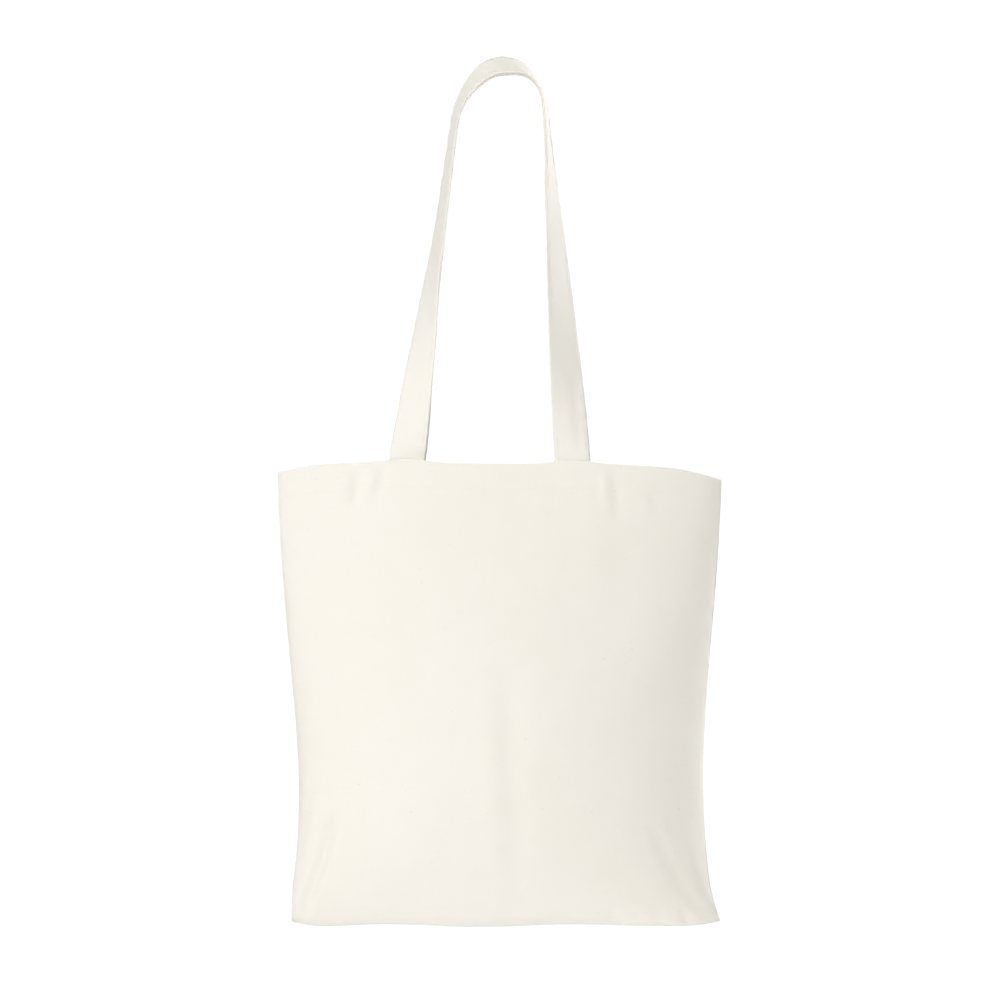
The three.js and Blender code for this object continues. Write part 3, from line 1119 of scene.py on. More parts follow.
ALLOWANCE_NEAR = 0.0034  # from the seam to where its folded edges start
ALLOWANCE_FAR = 0.0115  # and to their raw ends
ALLOWANCE_ON_CLOTH = 0.008  # how much flat cloth lies between them


def allowance_layers(line, inward, seed, thickness):
    """The two raw edges folded inside a seam, each a thin cloth that flutters a little."""
    flutter_height, flutter_wave = 0.0007, 0.030
    spread_height, spread_wave = 0.00012, 0.05
    apart = 0.00003
    length = distance_along(line)
    shares = np.linspace(0, 1, 7)
    flutter = flutter_height * ripple(length, seed, flutter_wave)
    parts = []
    for side in (-1, 1):
        spread = spread_height * (1 + ripple(length, seed + 3, spread_wave))
        rows = []
        for share in shares:
            row = line + inward * lerp(ALLOWANCE_NEAR, ALLOWANCE_FAR, share)
            row[:, 1] += share ** 1.5 * (flutter + side * spread)
            row[:, 1] += side * (thickness / 2 + apart)
            rows.append(row)
        grid = np.array(rows)
        half = np.array([0.0, thickness / 2, 0.0])
        points, faces = thick_sheet(grid + half, grid - half)
        place = cloth_places(length[None, :], (shares * ALLOWANCE_ON_CLOTH)[:, None])
        parts.append((points, faces, np.tile(place, (2, 1))))
    return join(parts), length, flutter


def overlock(line, inward, length, flutter, threads):
    """The thread that loops round a raw edge to bind it, with a plain run along the edge."""
    bite, clear, overhang = 0.0019, 0.0011, 0.78
    run_inside, run_sway = 0.00055, 0.00012
    stations, sides = 12, 5  # along one loop of thread, and round the thread
    loop_thread, run_thread = 0.45, 0.585  # radius, as shares of the sewing thread
    edge = line + inward * ALLOWANCE_FAR
    edge[:, 1] += flutter
    turns = int(length[-1] / threads.overlock_pitch)
    count = turns * stations
    along = np.linspace(0, length[-1], count)
    angle = np.linspace(0, turns * 2 * math.pi, count)
    centre = sample(along, length, edge)
    loop = centre + inward[None, :] * (bite * (np.cos(angle) - overhang))[:, None]
    loop[:, 1] += clear * np.sin(angle)
    run = centre + inward[None, :] * run_inside
    run[:, 1] += run_sway * np.sin(angle)
    looped = tube(loop, threads.thread * loop_thread, sides)
    return join([looped, tube(run[::3], threads.thread * run_thread, sides)])


# ---- Handles ----


class Route:
    """The way that one strap goes, with its two directions at each station."""

    def __init__(self, at, out, wide):
        self.at = at
        self.out = out
        self.wide = wide
        self.length = distance_along(at)


CROWN_SHIFT = 0.0008  # the crown's middle, across the bag
CROWN_FLAT = 0.006  # the flat stretch at its very top
ARCH_STEPS = 48
LEG_STEPS = 120
EDGE_STITCH_INSET = 0.003  # from a strap's folded edge to its stitches


def ridge_offset(turn, handle):
    """How far a strap's middle stays from the bag's middle plane, so the two straps only touch."""
    gap_half = 0.0004
    return gap_half + handle.width / 2 * np.cos(turn) + handle.thickness / 2 * np.sin(turn)


def crown_arch(handle, side, start):
    """One side of the crown's arch, as x and z, from where a straight leg touches it to the top."""
    fullness = handle.left_fullness if side < 0 else handle.right_fullness
    crown_height = HANDLE_TOP - (
        handle.width / 2 * math.sin(handle.crown_tilt)
        + handle.thickness / 2 * math.cos(handle.crown_tilt)
    )
    base = crown_height - handle.crown_rise
    half = (handle.crown_width - CROWN_FLAT) / 2
    middle = CROWN_SHIFT + side * CROWN_FLAT / 2

    def on_arch(angle):
        x = middle + side * half * np.cos(angle) ** (2 / fullness)
        z = base + handle.crown_rise * np.sin(angle) ** (2 / fullness)
        return np.stack([x, z], axis=-1)

    angles = np.linspace(0.001, math.pi / 2, 2000)
    arch = on_arch(angles)
    run = np.gradient(arch, axis=0)
    away = arch - start[[0, 2]]
    past = side * (away[:, 0] * run[:, 1] - away[:, 1] * run[:, 0]) > 0
    shoulder = angles[int(np.argmax(past))]
    even, _ = spread_evenly(lambda t: on_arch(lerp(shoulder, math.pi / 2, t)), ARCH_STEPS)
    return on_arch(lerp(shoulder, math.pi / 2, even)).T


def leg_turn(handle, side, up, share):
    """How far the strap has turned edge-on up a leg and then along its side of the arch."""
    if side < 0:
        early, late, shoulder = 2.35, 1.2, handle.left_shoulder
        hang_back, until = 0.0, 1.0
    else:
        early, late, shoulder = 1.3, 4, handle.right_shoulder
        hang_back, until = 0.10, 0.6
    arch = smooth(share) ** late
    arch = arch - hang_back * np.sin(math.pi * np.minimum(share / until, 1))
    on_leg = lerp(shoulder, math.pi / 2, (1 - up) ** early)
    return np.concatenate([on_leg, lerp(shoulder, handle.crown_tilt, arch)])


def free_leg(panels, handle, name, face, side_name):
    """A strap's middle, outward and widthways directions from the mouth to the crown's middle."""
    over_edge = 0.0009  # the straight leg starts this far above the mouth
    sway_turn, sway_wave = math.radians(2.0), 0.17
    sway_from, sway_to, sway_left = 0.15, 0.2, 0.15
    squares_up_by = 0.05
    side = SIDES[side_name]
    start, _ = panels.place(face, foot_middle(name, side_name), 0.0, STRAP_LAYER)
    start[2] += over_edge
    arch_x, arch_z = crown_arch(handle, side, start)
    up = np.linspace(0, 1, LEG_STEPS + 1)[:-1]
    x = np.concatenate([lerp(start[0], arch_x[0], up), arch_x])
    z = np.concatenate([lerp(start[2], arch_z[0], up), arch_z])
    turn = leg_turn(handle, side, up, np.linspace(0, 1, ARCH_STEPS + 1))
    up = np.concatenate([up, np.ones(ARCH_STEPS + 1)])
    # a strap never hangs quite true
    seed = SEEDS["leg twist"] + 3 * side + face
    sway = smooth(up / sway_from) * smooth((1.0 - up) / sway_to + sway_left)
    turn = turn + sway_turn * sway * ripple(z, seed, sway_wave)
    y = lerp(start[1], face * ridge_offset(turn, handle), up)
    run_x, run_z = np.gradient(x), np.gradient(z)
    outward = unit(np.stack([side * run_z, np.zeros(len(x)), -side * run_x], 1))
    ahead = np.array([0.0, face, 0.0])[None, :]
    cos, sin = np.cos(turn)[:, None], np.sin(turn)[:, None]
    wide = ahead * cos - outward * sin
    out = outward * cos + ahead * sin
    level = np.array([[-side, 0.0, 0.0]])
    wide = unit(lerp(level, wide, smooth(up / squares_up_by)[:, None]))
    return np.stack([x, y, z], 1), square_to(out, wide), wide


def square_to(out, wide):
    """The outward directions made square to the widthways ones."""
    return unit(out - wide * (out * wide).sum(-1, keepdims=True))


def sewn_end(panels, handle, name, face, side_name):
    """A strap's middle, outward and widthways directions inside the hem, up to the mouth."""
    stations, last_depth = 24, 0.0006
    middle_x = foot_middle(name, side_name)
    half = handle.width / 2
    found = []
    for depth in np.linspace(handle.sewn_end, last_depth, stations):
        point, normal = panels.place(face, middle_x, depth, STRAP_LAYER)
        left, _ = panels.place(face, middle_x - half, depth, STRAP_LAYER)
        right, _ = panels.place(face, middle_x + half, depth, STRAP_LAYER)
        across = unit(right - left) * -SIDES[side_name]
        found.append((point, square_to(normal, across), across))
    return zip(*found)


def leg_route(panels, handle, name, face, side_name):
    """One strap from its sewn end to the middle of the crown."""
    end = sewn_end(panels, handle, name, face, side_name)
    leg = free_leg(panels, handle, name, face, side_name)
    return [np.concatenate(pair) for pair in zip(end, leg)]


def strap_route(panels, handle, name, face):
    """One strap from its left sewn end over the crown to its right one."""
    left = leg_route(panels, handle, name, face, "left")
    right = leg_route(panels, handle, name, face, "right")
    at, out, wide = (np.concatenate([a, b[::-1]]) for a, b in zip(left, right))
    # the stiff strap rounds off every turn of the crown
    rounds, crown_from, crown_fade = 24, -0.060, 0.030
    near_crown = smooth((at[:, 2] - crown_from) / crown_fade)[1:-1, None]
    for way in (at, out, wide):
        for _ in range(rounds):
            rounder = (way[:-2] + 2 * way[1:-1] + way[2:]) / 4
            way[1:-1] = lerp(way[1:-1], rounder, near_crown)
    wide = unit(wide)
    return Route(at, square_to(out, wide), wide)


def strap_section(handle):
    """The strap's outline from inner edge to outer edge and back: rounded folds, sewn grooves."""
    pressed, pressed_from = 0.62, 0.82  # the folded edges are pressed thin
    groove_half, groove_depth, middle_dip = 0.0011, 0.16, 0.05
    half_w, half_t = handle.width / 2, handle.thickness / 2
    edge_stitch = half_w - EDGE_STITCH_INSET
    flat = half_w - half_t
    w = np.array([-1, -0.93, -0.84, -0.66, -0.33, 0, 0.33, 0.66, 0.84, 0.93, 1]) * flat
    groove = np.exp(-(((np.abs(w) - edge_stitch) / groove_half) ** 2))
    dip = np.cos(math.pi * np.clip(w / flat, -1, 1))
    bulge = 1.0 - groove_depth * groove - middle_dip * dip
    fold = smooth((np.abs(w) / flat - pressed_from) / (1 - pressed_from))
    bulge *= lerp(1.0, pressed, fold)
    face_side = list(zip(w, half_t * bulge))
    turns = np.radians([60, 25, 0, -25, -60])
    outer = [(flat + half_t * math.cos(a), pressed * half_t * math.sin(a)) for a in turns]
    back_side = [(x, -t) for x, t in reversed(face_side)]
    inner = [(-x, -t) for x, t in outer]
    return np.array(face_side + outer + back_side + inner)


def lengthwise_fold(share, from_end):
    """A soft fold low on the right leg: a ridge beside a hollow, as heights off the strap."""
    height, width = 0.0007, 0.26
    ridge_at, hollow_at = -0.02, -0.58
    low = smooth((from_end - 0.036) / 0.020) * smooth((0.150 - from_end) / 0.060)
    ridge = np.exp(-(((share - ridge_at) / width) ** 2))
    return height * low * (ridge - np.exp(-(((share - hollow_at) / width) ** 2)))


def sew_strap(route, handle, seed):
    """The folded strap along its route."""
    edge_wave = {"inner": 0.013, "outer": 0.015}
    edge_wide, edge_thick = 0.00016, 0.00030
    cup_height, cup_wave = 0.0005, 0.11
    width_share, width_wave = 0.004, 0.05
    end_thin, end_length = 0.75, 0.002
    ring = strap_section(handle)
    length = route.length[:, None]
    inner_ripple = ripple(route.length, seed, edge_wave["inner"])[:, None]
    outer_ripple = ripple(route.length, seed + 1, edge_wave["outer"])[:, None]
    cup = cup_height * ripple(route.length, seed + 2, cup_wave)[:, None]
    w, t = ring[None, :, 0], ring[None, :, 1]
    share = w / (handle.width / 2)
    edge = np.where(share > 0, outer_ripple, inner_ripple) * np.abs(share) ** 3
    widen = 1 + width_share * ripple(route.length, seed + 3, width_wave)[:, None]
    wide = w * widen + edge_wide * edge
    thick = t + cup * share * share + edge_thick * edge
    thick = thick + lengthwise_fold(share, length[-1] - length)
    ends = smooth(np.minimum(length, length[-1] - length) / end_length)
    thick = thick * lerp(end_thin, 1.0, ends)
    points = (
        route.at[:, None]
        + route.wide[:, None] * wide[..., None]
        + route.out[:, None] * thick[..., None]
    )
    rows, columns = points.shape[:2]
    faces = grid_faces(rows, columns, closed=True) + end_caps(rows, columns)
    places = cloth_places(distance_along(ring)[None, :], length)
    points, faces = outward_facing(points.reshape(-1, 3), faces)
    return points, faces, places


def edge_stitches(route, handle, edge, threads):
    """The row of stitches along one edge of a strap, on both of its faces."""
    groove_floor, raised = 0.86, 0.05
    sideways = edge * (handle.width / 2 - EDGE_STITCH_INSET)
    lift = groove_floor * handle.thickness / 2 + threads.thread * raised
    parts = []
    for turned in (1, -1):
        line = route.at + route.wide * sideways + route.out * turned * lift
        parts.append(stitches(line, route.out * turned, threads.stitch, threads.thread))
    return join(parts)


def box_stitches(panels, handle, name, face, side_name, threads):
    """The box and cross sewn through a strap's end."""
    middle = foot_middle(name, side_name)
    inset = 0.004
    half = handle.width / 2 - inset
    high, low = inset, panels.sizes.hem_depth - inset
    runs = [
        ((-half, high), (half, high)),
        ((half, high), (half, low)),
        ((half, low), (-half, low)),
        ((-half, low), (-half, high)),
        ((-half, high), (half, low)),
        ((-half, low), (half, high)),
    ]
    just_off_strap = 1.02
    short_of_corner, places = 0.02, 14
    closer = 0.9  # a foot is sewn with shorter stitches
    inside = STRAP_LAYER + handle.thickness / 2 * just_off_strap
    parts = []
    for start, end in runs:
        found = []
        for share in np.linspace(short_of_corner, 1 - short_of_corner, places):
            x, depth = (lerp(a, b, share) for a, b in zip(start, end))
            found.append(panels.place(face, middle + x, depth, inside))
        line = np.array([at for at, _ in found])
        out = -np.array([out for _, out in found])
        parts.append(stitches(line, out, threads.stitch * closer, threads.thread))
    return join(parts)


# ---- Finishes ----


def new_group(name, inputs, outputs):
    """An empty shader node group with its sockets, and its two end nodes."""
    group = bpy.data.node_groups.new(name, "ShaderNodeTree")
    for socket_name, kind, value in inputs:
        socket = group.interface.new_socket(socket_name, in_out="INPUT", socket_type=kind)
        if value is not None:
            socket.default_value = value
    for socket_name, kind in outputs:
        group.interface.new_socket(socket_name, in_out="OUTPUT", socket_type=kind)
    return group, group.nodes.new("NodeGroupInput"), group.nodes.new("NodeGroupOutput")


MIX_SHARE, MIX_A, MIX_B, MIXED = 0, 6, 7, 2  # a mix node's sockets for colours


class Wiring:
    """Short ways to place and join nodes in one tree."""

    def __init__(self, tree):
        self.tree = tree

    def node(self, kind, **settings):
        """A new node of that kind, with its settings."""
        made = self.tree.nodes.new(kind)
        for key, value in settings.items():
            setattr(made, key, value)
        return made

    def join(self, source, target):
        """Links an output to an input."""
        self.tree.links.new(source, target)

    def feed(self, socket, value):
        """Links an output to the socket, or sets a plain value on it."""
        if isinstance(value, bpy.types.NodeSocket):
            self.join(value, socket)
        else:
            socket.default_value = value

    def math(self, operation, a, b=None):
        """One sum on one or two values."""
        made = self.node("ShaderNodeMath", operation=operation)
        self.feed(made.inputs[0], a)
        if b is not None:
            self.feed(made.inputs[1], b)
        return made.outputs[0]

    def ramp(self, value, low, high, to_low=0.0, to_high=1.0):
        """The value moved from one range to another, and kept inside it."""
        made = self.node("ShaderNodeMapRange", clamp=True)
        self.feed(made.inputs["Value"], value)
        ends = {"From Min": low, "From Max": high, "To Min": to_low, "To Max": to_high}
        for name, at in ends.items():
            made.inputs[name].default_value = at
        return made.outputs["Result"]

    def noise(self, vector, scale, detail=2.0, roughness=0.5):
        """Cloudy unevenness, about 0.5 on average."""
        made = self.node("ShaderNodeTexNoise")
        self.feed(made.inputs["Vector"], vector)
        made.inputs["Scale"].default_value = scale
        made.inputs["Detail"].default_value = detail
        made.inputs["Roughness"].default_value = roughness
        return made.outputs["Fac"]

    def stretch(self, vector, scale):
        """Places scaled by a different amount each way."""
        made = self.node("ShaderNodeMapping")
        self.feed(made.inputs["Vector"], vector)
        made.inputs["Scale"].default_value = scale
        return made.outputs["Vector"]

    def mix_color(self, share, a, b, blend="MIX"):
        """One colour mixed into another, or multiplied with it."""
        made = self.node("ShaderNodeMix", data_type="RGBA", blend_type=blend)
        self.feed(made.inputs[MIX_SHARE], share)
        self.feed(made.inputs[MIX_A], a)
        self.feed(made.inputs[MIX_B], b)
        return made.outputs[MIXED]

    def bump(self, height, distance, strength=1.0, normal=None):
        """The direction off a surface that a height raises by up to that distance."""
        made = self.node("ShaderNodeBump")
        made.inputs["Strength"].default_value = strength
        made.inputs["Distance"].default_value = distance
        self.join(height, made.inputs["Height"])
        if normal is not None:
            self.join(normal, made.inputs["Normal"])
        return made.outputs["Normal"]

    def grouped(self, group, **values):
        """A node of a shared group, fed by its inputs' names with _ for each space."""
        made = self.node("ShaderNodeGroup", node_tree=group)
        for name, value in values.items():
            self.feed(made.inputs[name.replace("_", " ")], value)
        return made.outputs


def weave_group():
    """Plain weave: threads that pass over and under each other, and thicker ones here and there."""
    group, start, end = new_group(
        "Plain Weave",
        [("Cloth", "NodeSocketVector", None), ("Threads per Metre", "NodeSocketFloat", 1300.0)],
        [("Height", "NodeSocketFloat"), ("Slub", "NodeSocketFloat"), ("Gap", "NodeSocketFloat")],
    )
    w = Wiring(group)
    # real threads wander
    cloth, threads = start.outputs["Cloth"], start.outputs["Threads per Metre"]
    wander = w.math("SUBTRACT", w.noise(cloth, 90.0, 1.0), 0.5)
    wander = w.math("MULTIPLY", wander, 1.6)
    parts = w.node("ShaderNodeSeparateXYZ")
    w.join(cloth, parts.inputs[0])
    cells, crowns = [], []
    for axis in (0, 1):
        at = w.math("ADD", w.math("MULTIPLY", parts.outputs[axis], threads), wander)
        cells.append(w.math("FLOOR", at))
        crowns.append(w.math("SINE", w.math("MULTIPLY", w.math("FRACT", at), math.pi)))
    checker = w.math("PINGPONG", w.math("ADD", cells[0], cells[1]), 1.0)
    ups = []
    for mine, other in ((0, 1), (1, 0)):
        crown = w.math("ADD", w.math("MULTIPLY", crowns[other], 0.45), 0.55)
        ups.append(w.math("MULTIPLY", crowns[mine], crown))
    over = w.math("MULTIPLY", ups[0], checker)
    under = w.math("MULTIPLY", ups[1], w.math("SUBTRACT", 1.0, checker))
    height = w.math("ADD", over, under)
    # slubs: long thick places in single threads, both ways of the cloth
    long_way = w.noise(w.stretch(cloth, (900.0, 28.0, 1.0)), 1.0, 1.0)
    short_way = w.noise(w.stretch(cloth, (26.0, 820.0, 1.0)), 1.0, 1.0)
    slub = w.math("MAXIMUM", w.ramp(long_way, 0.62, 0.84), w.ramp(short_way, 0.64, 0.86))
    w.join(height, end.inputs["Height"])
    w.join(slub, end.inputs["Slub"])
    # Gap marks where the weave lies low between the threads, for the painted shade there
    w.join(w.ramp(height, 0.30, 0.0), end.inputs["Gap"])
    return group


def tone_group():
    """How undyed cloth varies: broad soft tones, cloudy patches and a few seed flecks."""
    group, start, end = new_group(
        "Undyed Tone",
        [("Cloth", "NodeSocketVector", None), ("Body", "NodeSocketColor", (0.8, 0.8, 0.8, 1))],
        [("Color", "NodeSocketColor"), ("Wear", "NodeSocketFloat")],
    )
    w = Wiring(group)
    cloth = start.outputs["Cloth"]
    broad = w.noise(cloth, 7.0, 3.0, 0.55)
    cloudy = w.noise(cloth, 46.0, 4.0, 0.6)
    fine = w.noise(cloth, 520.0, 2.0, 0.6)
    fleck_noise = w.noise(w.stretch(cloth, (1.0, 1.6, 1.0)), 210.0, 0.0)
    fleck = w.ramp(fleck_noise, 0.83, 0.86)
    body = start.outputs["Body"]
    warm = w.mix_color(1.0, body, (0.990, 0.985, 0.966, 1.0), "MULTIPLY")
    cool = w.mix_color(1.0, body, (0.968, 0.968, 0.964, 1.0), "MULTIPLY")
    tone = w.mix_color(w.ramp(broad, 0.40, 0.66), body, warm)
    tone = w.mix_color(w.ramp(cloudy, 0.48, 0.80, 0.0, 0.55), tone, cool)
    tone = w.mix_color(w.ramp(fine, 0.45, 0.75, 0.0, 0.35), tone, cool)
    tone = w.mix_color(w.math("MULTIPLY", fleck, 0.15), tone, (0.50, 0.42, 0.30, 1.0))
    w.join(tone, end.inputs["Color"])
    w.join(w.ramp(cloudy, 0.35, 0.75), end.inputs["Wear"])
    return group


WEAVE_DEPTH = 0.16 * MM
SLUB_DEPTH = 0.03 * MM
TWIST_DEPTH = 0.06 * MM


def new_material(name, plain):
    """A material with its plain socket values set, its shader and the wiring of its nodes."""
    material = bpy.data.materials.new(name)
    material.use_nodes = True
    shader = material.node_tree.nodes["Principled BSDF"]
    for socket, value in plain.items():
        shader.inputs[socket].default_value = value
    return material, shader, Wiring(material.node_tree)


def shaded(color, *shares):
    """A colour with each of its parts darkened to a share."""
    return (*(part * share for part, share in zip(color, shares)), 1.0)


def cloth_material(name, color, weave, tone, threads):
    """Canvas or strap cloth: weave and slubs in the bump, tones and painted shade between the
    threads in the colour, a faint nap.
    """
    material, shader, w = new_material(
        name,
        {
            "Specular IOR Level": 0.28,
            "Sheen Weight": 0.12,
            "Sheen Roughness": 0.55,
            "Sheen Tint": (1.0, 0.985, 0.95, 1.0),
        },
    )
    cloth = w.node("ShaderNodeUVMap", uv_map=CLOTH_MAP).outputs[0]
    woven = w.grouped(weave, Cloth=cloth, Threads_per_Metre=threads)
    toned = w.grouped(tone, Cloth=cloth, Body=(*color, 1.0))
    # painted shade darkens the gaps between threads a little, and the thick threads (slubs) are a
    # little darker too
    shade = w.math("MULTIPLY", woven["Gap"], 0.10)
    shade = w.math("ADD", shade, w.math("MULTIPLY", woven["Slub"], 0.05))
    dark = shaded(color, 0.72, 0.68, 0.60)
    w.join(w.mix_color(shade, toned["Color"], dark), shader.inputs["Base Color"])
    w.join(w.ramp(toned["Wear"], 0.0, 1.0, 0.86, 0.96), shader.inputs["Roughness"])
    fine = w.bump(woven["Height"], WEAVE_DEPTH)
    w.join(w.bump(woven["Slub"], SLUB_DEPTH, normal=fine), shader.inputs["Normal"])
    return material


def thread_material(color):
    """Twisted cotton thread, with painted shade in the grooves of its twist."""
    material, shader, w = new_material(
        "thread", {"Specular IOR Level": 0.35, "Sheen Weight": 0.10, "Sheen Roughness": 0.40}
    )
    place = w.node("ShaderNodeUVMap", uv_map=CLOTH_MAP).outputs[0]
    wave = w.node("ShaderNodeTexWave", bands_direction="DIAGONAL")
    wave.inputs["Scale"].default_value = 900.0
    wave.inputs["Distortion"].default_value = 0.6
    w.join(place, wave.inputs["Vector"])
    twist = wave.outputs["Fac"]
    patch = w.noise(place, 260.0, 2.0)
    dark = shaded(color, 0.86, 0.84, 0.80)
    # painted shade: darker where the twist's grooves lie, more so in some patches
    share = w.ramp(w.math("MULTIPLY", patch, twist), 0.1, 0.6, 0.55, 0.0)
    w.join(w.mix_color(share, (*color, 1.0), dark), shader.inputs["Base Color"])
    w.join(w.ramp(patch, 0.3, 0.7, 0.62, 0.78), shader.inputs["Roughness"])
    w.join(w.bump(twist, TWIST_DEPTH, 0.8), shader.inputs["Normal"])
    return material


def floor_material(color):
    """A plain pale studio floor."""
    material, shader, w = new_material("studio floor", {"Roughness": 0.85})
    place = w.node("ShaderNodeTexCoord").outputs["Object"]
    dark = shaded(color, 0.985, 0.985, 0.985)
    w.join(w.mix_color(w.noise(place, 3.0), (*color, 1.0), dark), shader.inputs["Base Color"])
    return material


# ---- The operators ----


workshop = {}


def finishes():
    """The three cloth and thread finishes, made once."""
    if "canvas" not in workshop:
        finish = bpy.context.scene.tote_finish
        threads = bpy.context.scene.tote_threads
        weave, tone = weave_group(), tone_group()
        counts = {"canvas": threads.weave_count, "strap": threads.weave_count * 1.05}
        for name, count in counts.items():
            color = tuple(getattr(finish, name))
            workshop[name] = cloth_material(name, color, weave, tone, count)
        workshop["thread"] = thread_material(tuple(finish.thread))
    return workshop


def sewn_panels():
    """The two panels, which every other piece is placed on."""
    if "panels" not in workshop:
        raise RuntimeError("make the panels first: the other pieces are placed on them")
    return workshop["panels"]


def settle(piece, body, slot, *nodes):
    """Puts a finished piece on its body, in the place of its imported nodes."""
    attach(piece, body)
    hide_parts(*nodes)
    return piece


LIT_PLACE = (0.0, 0.0, -0.42)
# each light's place, diameter, power in watts and colour
STUDIO_LIGHTS = {
    "key": ((-1.75, -3.15, 0.15), 1.5, 74.0, (1.0, 0.99, 0.975)),
    "side": ((2.45, 1.65, 0.6), 1.4, 90.0, (1.0, 1.0, 1.0)),
    "low": ((-0.2, -2.2, -2.1), 1.6, 12.0, (1.0, 0.995, 0.985)),
    "top": ((0.0, -1.2, 2.4), 1.4, 24.0, (1.0, 1.0, 1.0)),
    "rear": ((-0.8, 3.2, 0.6), 1.8, 34.0, (1.0, 0.99, 0.98)),
}


class TOTE_OT_stage(Operator):
    """Lay the floor, set the lights and place the camera"""

    bl_idname = "tote.make_stage"
    bl_label = "Make Stage"

    def execute(self, context):
        scene = context.scene
        self.place_camera(scene)
        self.lay_floor(scene)
        for name, light in STUDIO_LIGHTS.items():
            self.add_light(scene, name, *light)
        self.light_room(scene)
        scene.view_settings.view_transform = "Standard"
        scene.view_settings.look = "None"
        scene.view_settings.exposure = 0.0
        scene.view_settings.gamma = 1.0
        return {"FINISHED"}

    def place_camera(self, scene):
        """Looks straight at the front of the bag from far off."""
        view_width, distance = 0.8578, 8.0
        look_x, look_z = 0.0004, -0.3646
        data = bpy.data.cameras.new("camera")
        data.sensor_width = 36.0
        data.lens = data.sensor_width * distance / view_width
        data.clip_start, data.clip_end = 0.1, 100.0
        camera = bpy.data.objects.new("camera", data)
        camera.location = (look_x, -distance, look_z)
        camera.rotation_euler = (math.pi / 2, 0.0, 0.0)
        scene.collection.objects.link(camera)
        scene.camera = camera

    def lay_floor(self, scene):
        """Lays a round floor some way below the bag."""
        radius, middle, drop = 1.5, 0.05, 0.42
        rings, spokes = 6, 96
        angle = np.arange(spokes) * 2 * math.pi / spokes
        reach = np.linspace(middle, radius, rings)[:, None]
        x, y = reach * np.cos(angle), reach * np.sin(angle)
        height = np.full(x.size, frame_low.z - drop)
        points = np.stack([x.ravel(), y.ravel(), height], 1)
        mesh = bpy.data.meshes.new("floor")
        faces = grid_faces(rings, spokes, closed=True) + [list(range(spokes))]
        mesh.from_pydata([tuple(p) for p in points], [], faces)
        mesh.materials.append(floor_material(tuple(scene.tote_finish.floor)))
        floor = bpy.data.objects.new("floor", mesh)
        scene.collection.objects.link(floor)

    def light_room(self, scene):
        """Fills the room with an even light, and shows it a little brighter than it is."""
        fill, seen = 0.47, 1.05
        world = bpy.data.worlds.new("studio")
        world.use_nodes = True
        scene.world = world
        w = Wiring(world.node_tree)
        background = world.node_tree.nodes["Background"]
        path = w.node("ShaderNodeLightPath")
        strength = w.ramp(path.outputs["Is Camera Ray"], 0.0, 1.0, fill, seen)
        background.inputs["Color"].default_value = (1.0, 1.0, 1.0, 1.0)
        w.join(strength, background.inputs["Strength"])

    def add_light(self, scene, name, at, size, watts, color):
        """Adds one soft round light, turned to the bag."""
        data = bpy.data.lights.new(name, "AREA")
        data.shape = "DISK"
        data.size = size
        data.energy = watts
        data.color = color
        light = bpy.data.objects.new(name, data)
        light.location = at
        away = np.array(at) - np.array(LIT_PLACE)
        tip = math.atan2(math.hypot(away[0], away[1]), away[2])
        light.rotation_euler = (tip, 0.0, math.atan2(away[1], away[0]) + math.pi / 2)
        light.visible_camera = False
        scene.collection.objects.link(light)


class TOTE_OT_panels(Operator):
    """Drape the two panels and turn their hems in"""

    bl_idname = "tote.make_panels"
    bl_label = "Make Panels"

    def execute(self, context):
        panels = Panels(context.scene.tote_cloth)
        workshop["panels"] = panels
        canvas = finishes()["canvas"]
        for name, face in FACES.items():
            piece = sew_panel(panels, f"{name}_canvas_panel", face, canvas)
            settle(piece, BAG_BODY, "canvas", f"{name}_panel", f"{name}_hem")
            workshop[f"{name}_panel"] = piece
        return {"FINISHED"}


class TOTE_OT_seams(Operator):
    """Fold the seam allowances inside and bind their edges"""

    bl_idname = "tote.make_seams"
    bl_label = "Make Seams"

    def execute(self, context):
        panels = sewn_panels()
        threads = context.scene.tote_threads
        made = finishes()
        pressed = 0.92  # the folded edges are ironed a little thinner than the cloth
        workshop["seams"] = []
        for number, (seam, (line, inward)) in enumerate(allowance_lines(panels).items()):
            seed = SEEDS["seam edges"] + 10 * number
            thickness = panels.sizes.thickness * pressed
            layers, length, flutter = allowance_layers(line, inward, seed, thickness)
            cloth = new_piece(f"{seam}_folded_edges", *layers, made["canvas"])
            settle(cloth, BAG_BODY, "canvas", f"{seam}_allowance")
            bound = overlock(line, inward, length, flutter, threads)
            thread = new_piece(f"{seam}_binding", *bound, made["thread"])
            settle(thread, BAG_BODY, "thread", f"{seam}_overlock")
            workshop["seams"] += [cloth, thread]
        return {"FINISHED"}


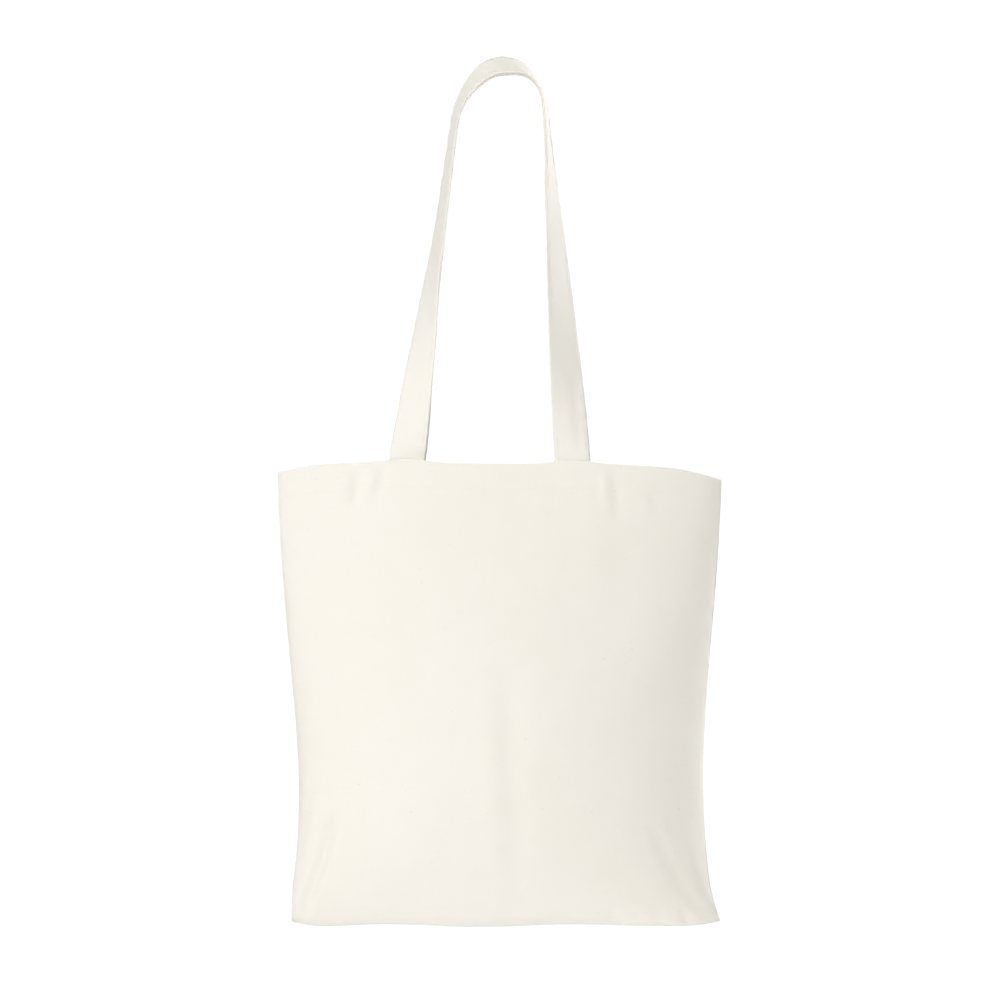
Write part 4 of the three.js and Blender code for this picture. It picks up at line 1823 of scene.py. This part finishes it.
class TOTE_OT_handles(Operator):
    """Fold the two straps and sew their edges and ends"""

    bl_idname = "tote.make_handles"
    bl_label = "Make Handles"

    def execute(self, context):
        panels = sewn_panels()
        handle = context.scene.tote_handles
        threads = context.scene.tote_threads
        made = finishes()
        for number, (name, face) in enumerate(FACES.items()):
            body = f"{name}_handle"
            route = strap_route(panels, handle, name, face)
            folded = sew_strap(route, handle, SEEDS["strap"] + 10 * number)
            strap = new_piece(f"{name}_strap", *folded, made["strap"])
            feet = [f"{name}_handle_{side_name}_foot" for side_name in SIDES]
            self.bend(strap, body)
            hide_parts(body, *feet)
            for edge_name, edge in (("outer", 1), ("inner", -1)):
                run = edge_stitches(route, handle, edge, threads)
                row = new_piece(f"{name}_strap_{edge_name}_seam", *run, made["thread"])
                self.bend(row, body)
                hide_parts(f"{name}_handle_{edge_name}_stitch")
            for side_name in SIDES:
                box = box_stitches(panels, handle, name, face, side_name, threads)
                cross = new_piece(f"{name}_strap_{side_name}_box", *box, made["thread"])
                node = f"{name}_handle_{side_name}_foot_stitch"
                settle(cross, BAG_BODY, "thread", node)
        return {"FINISHED"}

    def bend(self, piece, body):
        """Bakes the piece's place into its mesh."""
        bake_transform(piece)


class TOTE_OT_hem_seams(Operator):
    """Sew the hems of both panels"""

    bl_idname = "tote.make_hem_seams"
    bl_label = "Make Hem Seams"

    def execute(self, context):
        panels = sewn_panels()
        threads = context.scene.tote_threads
        thread = finishes()["thread"]
        sewn = {"front": list(workshop.get("seams", [])), "back": []}
        for name, face in FACES.items():
            run = hem_stitches(panels, face, threads)
            row = new_piece(f"{name}_hem_seam", *run, thread)
            settle(row, BAG_BODY, "thread", f"{name}_hem_stitch")
            sewn[name].append(row)
        return {"FINISHED"}


class TOTE_PT_panel(Panel):
    """Sizes, finishes and pieces of the tote bag"""

    bl_idname = "TOTE_PT_panel"
    bl_label = "Canvas Tote Bag"
    bl_space_type = "VIEW_3D"
    bl_region_type = "UI"
    bl_category = "Tote Bag"

    def draw(self, context):
        layout = self.layout
        for name in GROUPS:
            settings = getattr(context.scene, name)
            box = layout.box()
            for key in settings.bl_rna.properties.keys():
                if key not in {"rna_type", "name"}:
                    box.prop(settings, key)
        for operator in OPERATORS:
            layout.operator(operator.bl_idname)


GROUPS = {
    "tote_cloth": ToteClothSizes,
    "tote_handles": ToteHandleSizes,
    "tote_threads": ToteThreadSizes,
    "tote_finish": ToteFinish,
}
OPERATORS = (
    TOTE_OT_stage,
    TOTE_OT_panels,
    TOTE_OT_seams,
    TOTE_OT_handles,
    TOTE_OT_hem_seams,
)


def register():
    """Makes the bag's sizes, pieces and panel known to Blender."""
    for group in GROUPS.values():
        bpy.utils.register_class(group)
    for operator in OPERATORS:
        bpy.utils.register_class(operator)
    bpy.utils.register_class(TOTE_PT_panel)
    for name, group in GROUPS.items():
        setattr(bpy.types.Scene, name, PointerProperty(type=group))


def unregister():
    """Takes them away again."""
    for name in GROUPS:
        delattr(bpy.types.Scene, name)
    bpy.utils.unregister_class(TOTE_PT_panel)
    for operator in reversed(OPERATORS):
        bpy.utils.unregister_class(operator)
    for group in reversed(list(GROUPS.values())):
        bpy.utils.unregister_class(group)


def main():
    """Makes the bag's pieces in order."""
    register()
    for step in (
        bpy.ops.tote.make_stage,
        bpy.ops.tote.make_panels,
        bpy.ops.tote.make_seams,
        bpy.ops.tote.make_handles,
        bpy.ops.tote.make_hem_seams,
    ):
        step()


if __name__ == "__main__":
    main()
